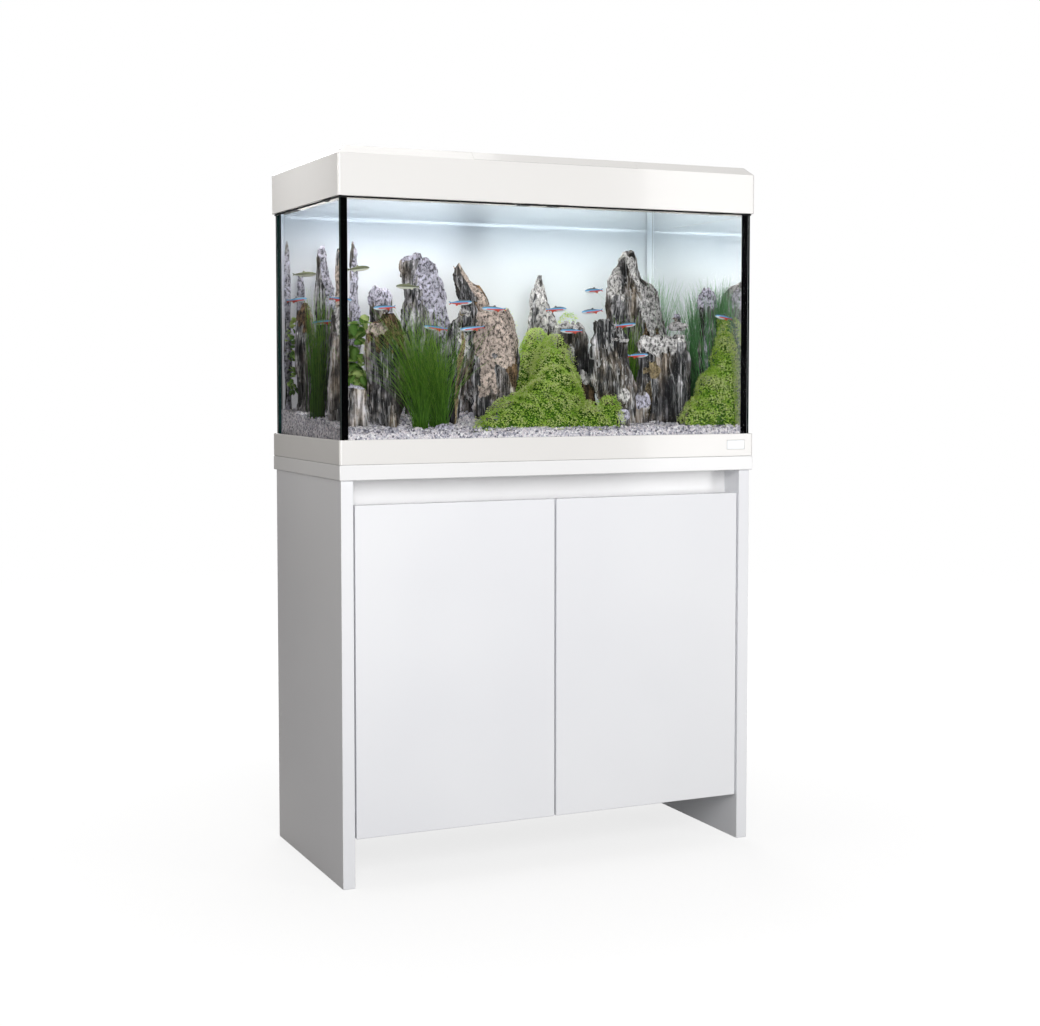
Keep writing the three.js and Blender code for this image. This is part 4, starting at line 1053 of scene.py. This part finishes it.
def mound_core(name, lobes, material, seed):
    """The mass of stems under the leaves: a closed dome for each lobe, all in one piece."""
    rings, around = 16, 64
    reach = np.repeat(1 - np.arange(rings) / rings, around)
    angle = np.tile(2 * math.pi * np.arange(around) / around, rings)
    limit_x, limit_y = GRAVEL_HIGH.x - WALL_GAP["stem"], GRAVEL_HIGH.y - WALL_GAP["stem"]
    points, faces = [], []
    for cx, cy, rx, ry, height in lobes:
        start = len(points) * (rings * around + 1)
        x = np.clip(cx + rx * reach * np.cos(angle), -limit_x, limit_x)
        y = np.clip(cy + ry * reach * np.sin(angle), -limit_y, limit_y)
        top = height * np.maximum(1 - reach * reach, 0) ** DOME
        dome = np.stack([x, y, gravel_height(y) - 0.006 + np.maximum(top * 0.94 - 0.003, 0)], 1)
        points.append(np.vstack([dome, (cx, cy, gravel_height(cy) + height * 0.93 - 0.010)]))
        faces += (tube_faces(rings, around) + start).tolist()
        faces += fan_faces(start + (rings - 1) * around, around, start + rings * around)
        faces.append(tuple(start + i for i in range(around - 1, -1, -1)))
    points = np.vstack(points)
    rough = noise3(points, 0.009, seed) - 0.55
    points[:, 2] += np.where(points[:, 2] > gravel_height(points[:, 1]), rough * 0.008, 0)
    return make_mesh(name, points, faces, material, noise3(points, 0.006, seed + 1) * 0.8)


def blades(name, replaces, roots, count, length, material, seed, fan=0.3, drift=0.0, width=0.00055):
    """Thin curved blades that fan out from a few roots (x, y, spread). Each is a closed three-sided strip."""
    rng = np.random.default_rng(seed)
    steps, sides = 9, 3
    t = np.linspace(0, 1, steps)[None, :]
    root = np.array(roots)[rng.integers(len(roots), size=count)]
    x = root[:, 0] + rng.normal(0, 1, count) * root[:, 2]
    y = root[:, 1] + rng.normal(0, 0.6, count) * root[:, 2]
    heading = rng.uniform(0, 2 * math.pi, count)
    lean = np.abs(rng.normal(0, fan, count))
    curl = rng.normal(0.25, 0.3, count) * lean + 0.05
    span = (length * rng.uniform(0.45, 1.0, count) ** 0.8)[:, None]
    out_x, out_y = np.cos(heading), np.sin(heading) * 0.4
    bend = 0.45 * lean[:, None] * t + (0.55 * lean + curl)[:, None] * t ** 2
    px = x[:, None] + span * (out_x[:, None] * bend + drift * t ** 2)
    py = y[:, None] + span * out_y[:, None] * bend
    pz = gravel_height(y)[:, None] - 0.003 + span * (t - 0.28 * bend * t ** 2)
    px = np.clip(px, GRAVEL_LOW.x + WALL_GAP["blade"], GRAVEL_HIGH.x - WALL_GAP["blade"])
    py = np.clip(py, GRAVEL_LOW.y + WALL_GAP["blade"], GRAVEL_HIGH.y - WALL_GAP["blade"])
    broad = ((width * rng.uniform(0.7, 1.3, count))[:, None] * (1 - 0.85 * t))[..., None]
    turn = heading[:, None, None] + np.arange(sides)[None, None, :] * 2 * math.pi / sides
    points = np.stack([px[..., None] + broad * np.cos(turn), py[..., None] + broad * np.sin(turn),
                       np.repeat(pz[..., None], sides, 2)], -1).reshape(-1, 3)
    shade = rng.uniform(0, 1, count)[:, None] * 0.55 + 0.45 * t ** 1.2
    start = np.arange(count)[:, None, None] * steps * sides
    end = (steps - 1) * sides
    caps = np.array([(2, 1, 0), (end, end + 1, end + 2)])[None] + start
    faces = (tube_faces(steps, sides)[None] + start).reshape(-1, 4).tolist() + caps.reshape(-1, 3).tolist()
    tuft = make_mesh(name, points, faces, material, np.repeat(shade.ravel(), sides))
    if replaces:
        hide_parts(replaces)
    return tuft


def broad_leaves(name, centre, reach, sizes, count, material, seed):
    """A stem plant of larger leaves in a tall narrow clump."""
    rng = np.random.default_rng(seed)
    spots = np.array(centre) + rng.uniform(-1, 1, (count, 3)) * np.array(reach)
    outward = unit((spots - np.array(centre)) * [1, 1, 0.1] + [0, -0.012, 0.020])
    tone = rng.uniform(0.1, 1, count)
    size = rng.uniform(*sizes, count)
    return scatter_leaves(name, large_leaf(), spots, outward, size, material, rng, tone, 0.3)


# ---------- fish ----------
FISH_SCALE = 1.12

# x, y and z of each tetra, and which way it faces: 1 right, -1 left
FISH = [
    (-0.309, -0.150, 0.992, -1), (-0.163, -0.140, 1.003, 1), (-0.091, -0.120, 0.994, -1),
    (-0.215, -0.150, 0.958, -1), (-0.146, -0.150, 0.958, -1), (0.033, -0.120, 0.995, 1),
    (0.136, -0.060, 0.995, -1), (0.124, -0.090, 1.032, -1), (0.058, -0.130, 0.956, -1),
    (0.171, -0.130, 0.968, 1), (0.180, -0.160, 0.912, 1), (0.361, -0.160, 0.984, -1),
    (-0.330, 0.020, 1.012, 1), (-0.350, 0.060, 0.972, -1), (-0.374, 0.140, 1.015, 1),
]
# the same for the silver fish
SILVER_FISH = [(-0.338, -0.100, 1.060, 1), (-0.255, -0.120, 1.030, -1), (-0.372, 0.100, 1.060, 1)]


def fish_material():
    """Small tetra: dark back, bright blue stripe, silver belly, red lower rear."""
    n = Nodes("tetra")
    x, _, z = n.axes()
    z = n.total((0.0006, n.noise(n.place(), 400, 2)), (1.0, z))
    scales = n.cells(1400, "Distance")
    belly = n.mix(scales, rgb(196, 206, 214), rgb(232, 238, 244))
    red = n.mix(scales, rgb(176, 44, 36), rgb(222, 88, 68))
    band = n.math("MULTIPLY", n.span(z, -0.0020, -0.0014), n.span(x, 0.013, 0.010))
    color = n.mix(n.math("MAXIMUM", band, n.span(x, 0.002, -0.003)), belly, red)
    color = n.mix(n.span(z, 0.0, 0.0004), color, rgb(92, 160, 208))
    color = n.mix(n.span(z, 0.0024, 0.0030), color, rgb(74, 84, 88))
    return n.done(n.shader(Base_Color=color, Roughness=0.28, Metallic=0.15, Coat_Weight=0.4,
                           Normal=n.bump(scales, 0.2, 0.0002)))


def silver_fish_material():
    """A plain slim fish: olive back over a silver belly."""
    n = Nodes("silver_fish")
    scales = n.cells(1200, "Distance")
    color = n.ramp(n.span(n.axes()[2], -0.003, 0.003), (0.25, rgb(222, 224, 210)),
                   (0.42, rgb(120, 126, 96)), (0.5, rgb(34, 42, 30)), (0.7, rgb(104, 112, 74)))
    color = n.mix(n.math("MULTIPLY", scales, 0.2), color, rgb(196, 200, 184))
    return n.done(n.shader(Base_Color=color, Roughness=0.3, Metallic=0.2, Normal=n.bump(scales, 0.2, 0.0002)))


def fish_shape():
    """A slim body with its nose towards +X, 40 mm long, with tail, back and belly fins."""
    bm = bmesh.new()
    # x, half width and half height of each section
    stations = [(0.0190, 0.0005, 0.0007), (0.0172, 0.0015, 0.0020), (0.0130, 0.0024, 0.0033),
                (0.007, 0.0028, 0.0041), (0.0, 0.0026, 0.0040), (-0.006, 0.0018, 0.0030),
                (-0.012, 0.0010, 0.0019), (-0.0150, 0.0007, 0.0014)]
    around = 12
    turn = [2 * math.pi * i / around for i in range(around)]
    body = [bm.verts.new((x, half_y * math.cos(a), half_z * math.sin(a)))
            for x, half_y, half_z in stations for a in turn]
    for face in tube_faces(len(stations), around):
        bm.faces.new([body[i] for i in face])
    bm.faces.new(body[around - 1::-1])
    bm.faces.new(body[-around:])

    def fin(outline, thick=0.00025):
        left = [bm.verts.new((x, -thick, z)) for x, z in outline]
        right = [bm.verts.new((x, thick, z)) for x, z in outline]
        bm.faces.new(left)
        bm.faces.new(right[::-1])
        for i in range(len(outline)):
            j = (i + 1) % len(outline)
            bm.faces.new((left[j], left[i], right[i], right[j]))

    fin([(-0.0142, 0.0), (-0.0165, 0.0014), (-0.0205, 0.0030), (-0.0186, 0.0004), (-0.0186, -0.0004),
         (-0.0205, -0.0030), (-0.0165, -0.0014)])
    fin([(0.002, 0.0036), (-0.0012, 0.0058), (-0.0026, 0.0054), (-0.0035, 0.0030)])
    fin([(-0.004, -0.0028), (-0.0070, -0.0050), (-0.0090, -0.0040), (-0.0090, -0.0018)])
    bmesh.ops.recalc_face_normals(bm, faces=bm.faces)
    mesh = bpy.data.meshes.new("tetra")
    bm.to_mesh(mesh)
    bm.free()
    mesh.polygons.foreach_set("use_smooth", [True] * len(mesh.polygons))
    return mesh


def school():
    rng = np.random.default_rng(5)
    fish = []
    for material, places in ((fish_material(), FISH), (silver_fish_material(), SILVER_FISH)):
        body = fish_shape()
        body.materials.append(material)
        for x, y, z, way in places:
            swimmer = linked(f"fish_{len(fish) + 1:02d}", body)
            yaw = (0 if way > 0 else math.pi) + rng.uniform(-0.3, 0.3)
            pitch = rng.uniform(-0.12, 0.12)
            swimmer.matrix_world = (Matrix.Translation((x, y, z)) @ Matrix.Rotation(yaw, 4, "Z")
                                    @ Matrix.Rotation(pitch, 4, "Y") @ Matrix.Scale(FISH_SCALE, 4))
            fish.append(swimmer)
    return fish


# ---------- dressing the CAD nodes ----------
BOARDS = ["left_side_panel", "right_side_panel", "cabinet_floor", "centre_divider", "door_left", "door_right"]
GLOSS_BOARDS = ["cabinet_top", "front_rail"]
MOULDINGS = ["base_frame", "hood_frame", "feeding_flap"]
SEAMS = ["seam_front_left", "seam_front_right", "seam_back_left", "seam_back_right"]


def paint(names, material):
    for name in names:
        slots = nodes[name].data.materials
        slots.clear()
        slots.append(material)


def soften(names, width, segments=3):
    """Rounds the sharp edges of a CAD node without touching its mesh."""
    for name in names:
        piece = nodes[name]
        weld = piece.modifiers.new("weld", "WELD")
        weld.merge_threshold = 0.00002
        bevel = piece.modifiers.new("rounding", "BEVEL")
        bevel.width = width
        bevel.segments = segments
        bevel.limit_method = "ANGLE"
        bevel.angle_limit = math.radians(35)
        bevel.harden_normals = True


def dress():
    paint(BOARDS, white_board("satin_board", rgb(246, 247, 250), rgb(240, 241, 245), 0.40, 0.0))
    paint(GLOSS_BOARDS, white_board("gloss_board", rgb(248, 248, 249), rgb(243, 243, 244), 0.20, 0.3))
    paint(MOULDINGS, white_plastic())
    paint(["back_panel"], hardboard())
    paint([name for name in nodes if name.startswith(("hinge_", "flap_pin"))],
          brushed_metal("hinge_steel", (1, 12, 1), (900, 3), (0.50, 0.50, 0.50, 1), (0.68, 0.68, 0.69, 1),
                        (0.15, 0.0002), 1.0, (0.2, 0.38)))
    paint(["light_unit"],
          brushed_metal("lamp_housing", (0.05, 1, 1), (1400, 3), (0.62, 0.63, 0.64, 1), (0.74, 0.75, 0.76, 1),
                        (0.12, 0.0002), 1.0, 0.36))
    paint(["badge_plate"],
          brushed_metal("badge_plate", (0.1, 1, 1), (1600, 2), rgb(214, 216, 219), rgb(236, 238, 240),
                        (0.1, 0.0001), 0.25, 0.3))
    paint(["door_bumper_left", "door_bumper_right", "lead_grommet"], dark_rubber("rubber", 0.012, 0.75, 0.3))
    paint(["hood_gasket"], dark_rubber("silicone", 0.004, 0.42, 0.15))
    for name in SEAMS:
        paint([name], seam_silicone(name, -1 if "left" in name else 1, "back" in name))
    paint(["background_film"], background())
    paint(["light_diffuser"], lamp_glow())
    paint(["glass_bottom", "cross_brace"], pane_glass("pane_flat", "Z"))
    paint(["glass_front"], pane_glass("pane_front", "Y"))
    paint(["glass_back"], pane_glass("pane_back", "Y", depth=0.05))
    paint(["glass_left"], pane_glass("pane_left", "X", 1))
    paint(["glass_right"], pane_glass("pane_right", "X", -1))
    soften(BOARDS, 0.0012)
    soften(GLOSS_BOARDS, 0.0018)
    soften(MOULDINGS, 0.0009)
    soften(["light_unit", "badge_plate"], 0.0004, 2)


# name, the solid it stands for, lobes (x, y, reach in x and y, height), number of leaves, seed
BUSHES = [
    ("carpet_centre", "carpet_plant_centre",
     [(-0.082, -0.142, 0.046, 0.026, 0.026), (-0.040, -0.127, 0.062, 0.040, 0.052),
      (0.010, -0.116, 0.066, 0.050, 0.074), (0.042, -0.094, 0.060, 0.052, 0.098),
      (0.058, -0.058, 0.052, 0.050, 0.128), (0.072, -0.030, 0.048, 0.046, 0.150),
      (0.058, 0.016, 0.046, 0.044, 0.160), (0.092, -0.133, 0.056, 0.034, 0.036),
      (0.128, -0.147, 0.021, 0.019, 0.052)], 24000, 21),
    ("carpet_right", "carpet_plant_right",
     [(0.318, -0.151, 0.034, 0.017, 0.050), (0.352, -0.144, 0.040, 0.024, 0.104),
      (0.378, -0.138, 0.030, 0.030, 0.168), (0.384, -0.120, 0.020, 0.040, 0.196)], 13000, 22),
    ("bush_back_left", None, [(0.046, 0.140, 0.026, 0.030, 0.190)], 1100, 23),
    ("bush_back_right", None, [(0.176, 0.120, 0.032, 0.034, 0.190)], 1300, 24),
    ("sprig_front", None, [(-0.128, -0.166, 0.014, 0.009, 0.014)], 150, 25),
]


def planting():
    lime = leaf_material("carpet_leaf", rgb(146, 204, 62), rgb(220, 248, 120), rgb(248, 255, 186))
    # The stem mass under the carpets is dark green: painted shade seen between the leaves.
    shade_core = leaf_material("carpet_core_shade", rgb(58, 98, 26), rgb(96, 144, 42), rgb(132, 176, 60))
    blade = leaf_material("hair_blade", rgb(44, 86, 24), rgb(104, 160, 50), rgb(186, 224, 104))
    cool = leaf_material("hair_blade_cool", rgb(54, 110, 54), rgb(100, 164, 96), rgb(150, 206, 156))
    broad = leaf_material("broad_leaf", rgb(82, 132, 52), rgb(150, 192, 96), rgb(222, 238, 160))
    pieces = []
    for bush in BUSHES:
        pieces += carpet(*bush, lime, shade_core)
    # name, the solid it stands for, roots (x, y, spread), number, length, material, seed, fan, drift, width
    tufts = [
        ("hair_grass_left_tuft", "hair_grass_left",
         [(-0.247, -0.158, 0.004), (-0.240, -0.150, 0.006), (-0.206, -0.156, 0.004), (-0.212, -0.146, 0.006)],
         680, 0.230, blade, 31, 0.34, -0.16),
        ("hair_grass_right_tuft", "hair_grass_right", [(0.366, -0.050, 0.008), (0.378, -0.052, 0.006)],
         520, 0.262, cool, 32, 0.10, 0.0, 0.0009),
        ("hair_grass_back", None, [(0.292, 0.030, 0.012), (0.322, 0.040, 0.010)],
         560, 0.285, cool, 36, 0.10, 0.0, 0.0009),
        ("hair_grass_corner", None, [(0.370, -0.110, 0.013)], 480, 0.270, cool, 33, 0.10, 0.0, 0.0010),
        ("hair_grass_middle", None, [(0.215, -0.058, 0.010)], 260, 0.215, blade, 34, 0.12),
        ("hair_grass_side", None, [(-0.372, 0.030, 0.006)], 220, 0.245, blade, 35, 0.07),
    ]
    pieces += [blades(*tuft) for tuft in tufts]
    pieces.append(broad_leaves("broad_leaf_plant", (-0.322, -0.038, 0.912), (0.014, 0.030, 0.072),
                               (0.018, 0.027), 90, broad, 41))
    pieces.append(broad_leaves("broad_leaf_corner", (-0.384, 0.150, 0.915), (0.006, 0.020, 0.070),
                               (0.011, 0.016), 60, broad, 42))
    return pieces


def build():
    camera()
    world()
    floor()
    for light in LIGHTS:
        area_light(*light)
    dress()
    pieces = [gravel_bed(gravel_material()), gravel_chips(chip_material())]
    pieces += rocks() + [pebbles()] + planting() + school()
    water_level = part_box("background_film")[1].z - 0.0009
    pieces.append(water_surface(water_level))
    for piece in pieces:
        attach(piece, ROOT)


build()
bpy.context.scene.view_settings.view_transform = "Standard"
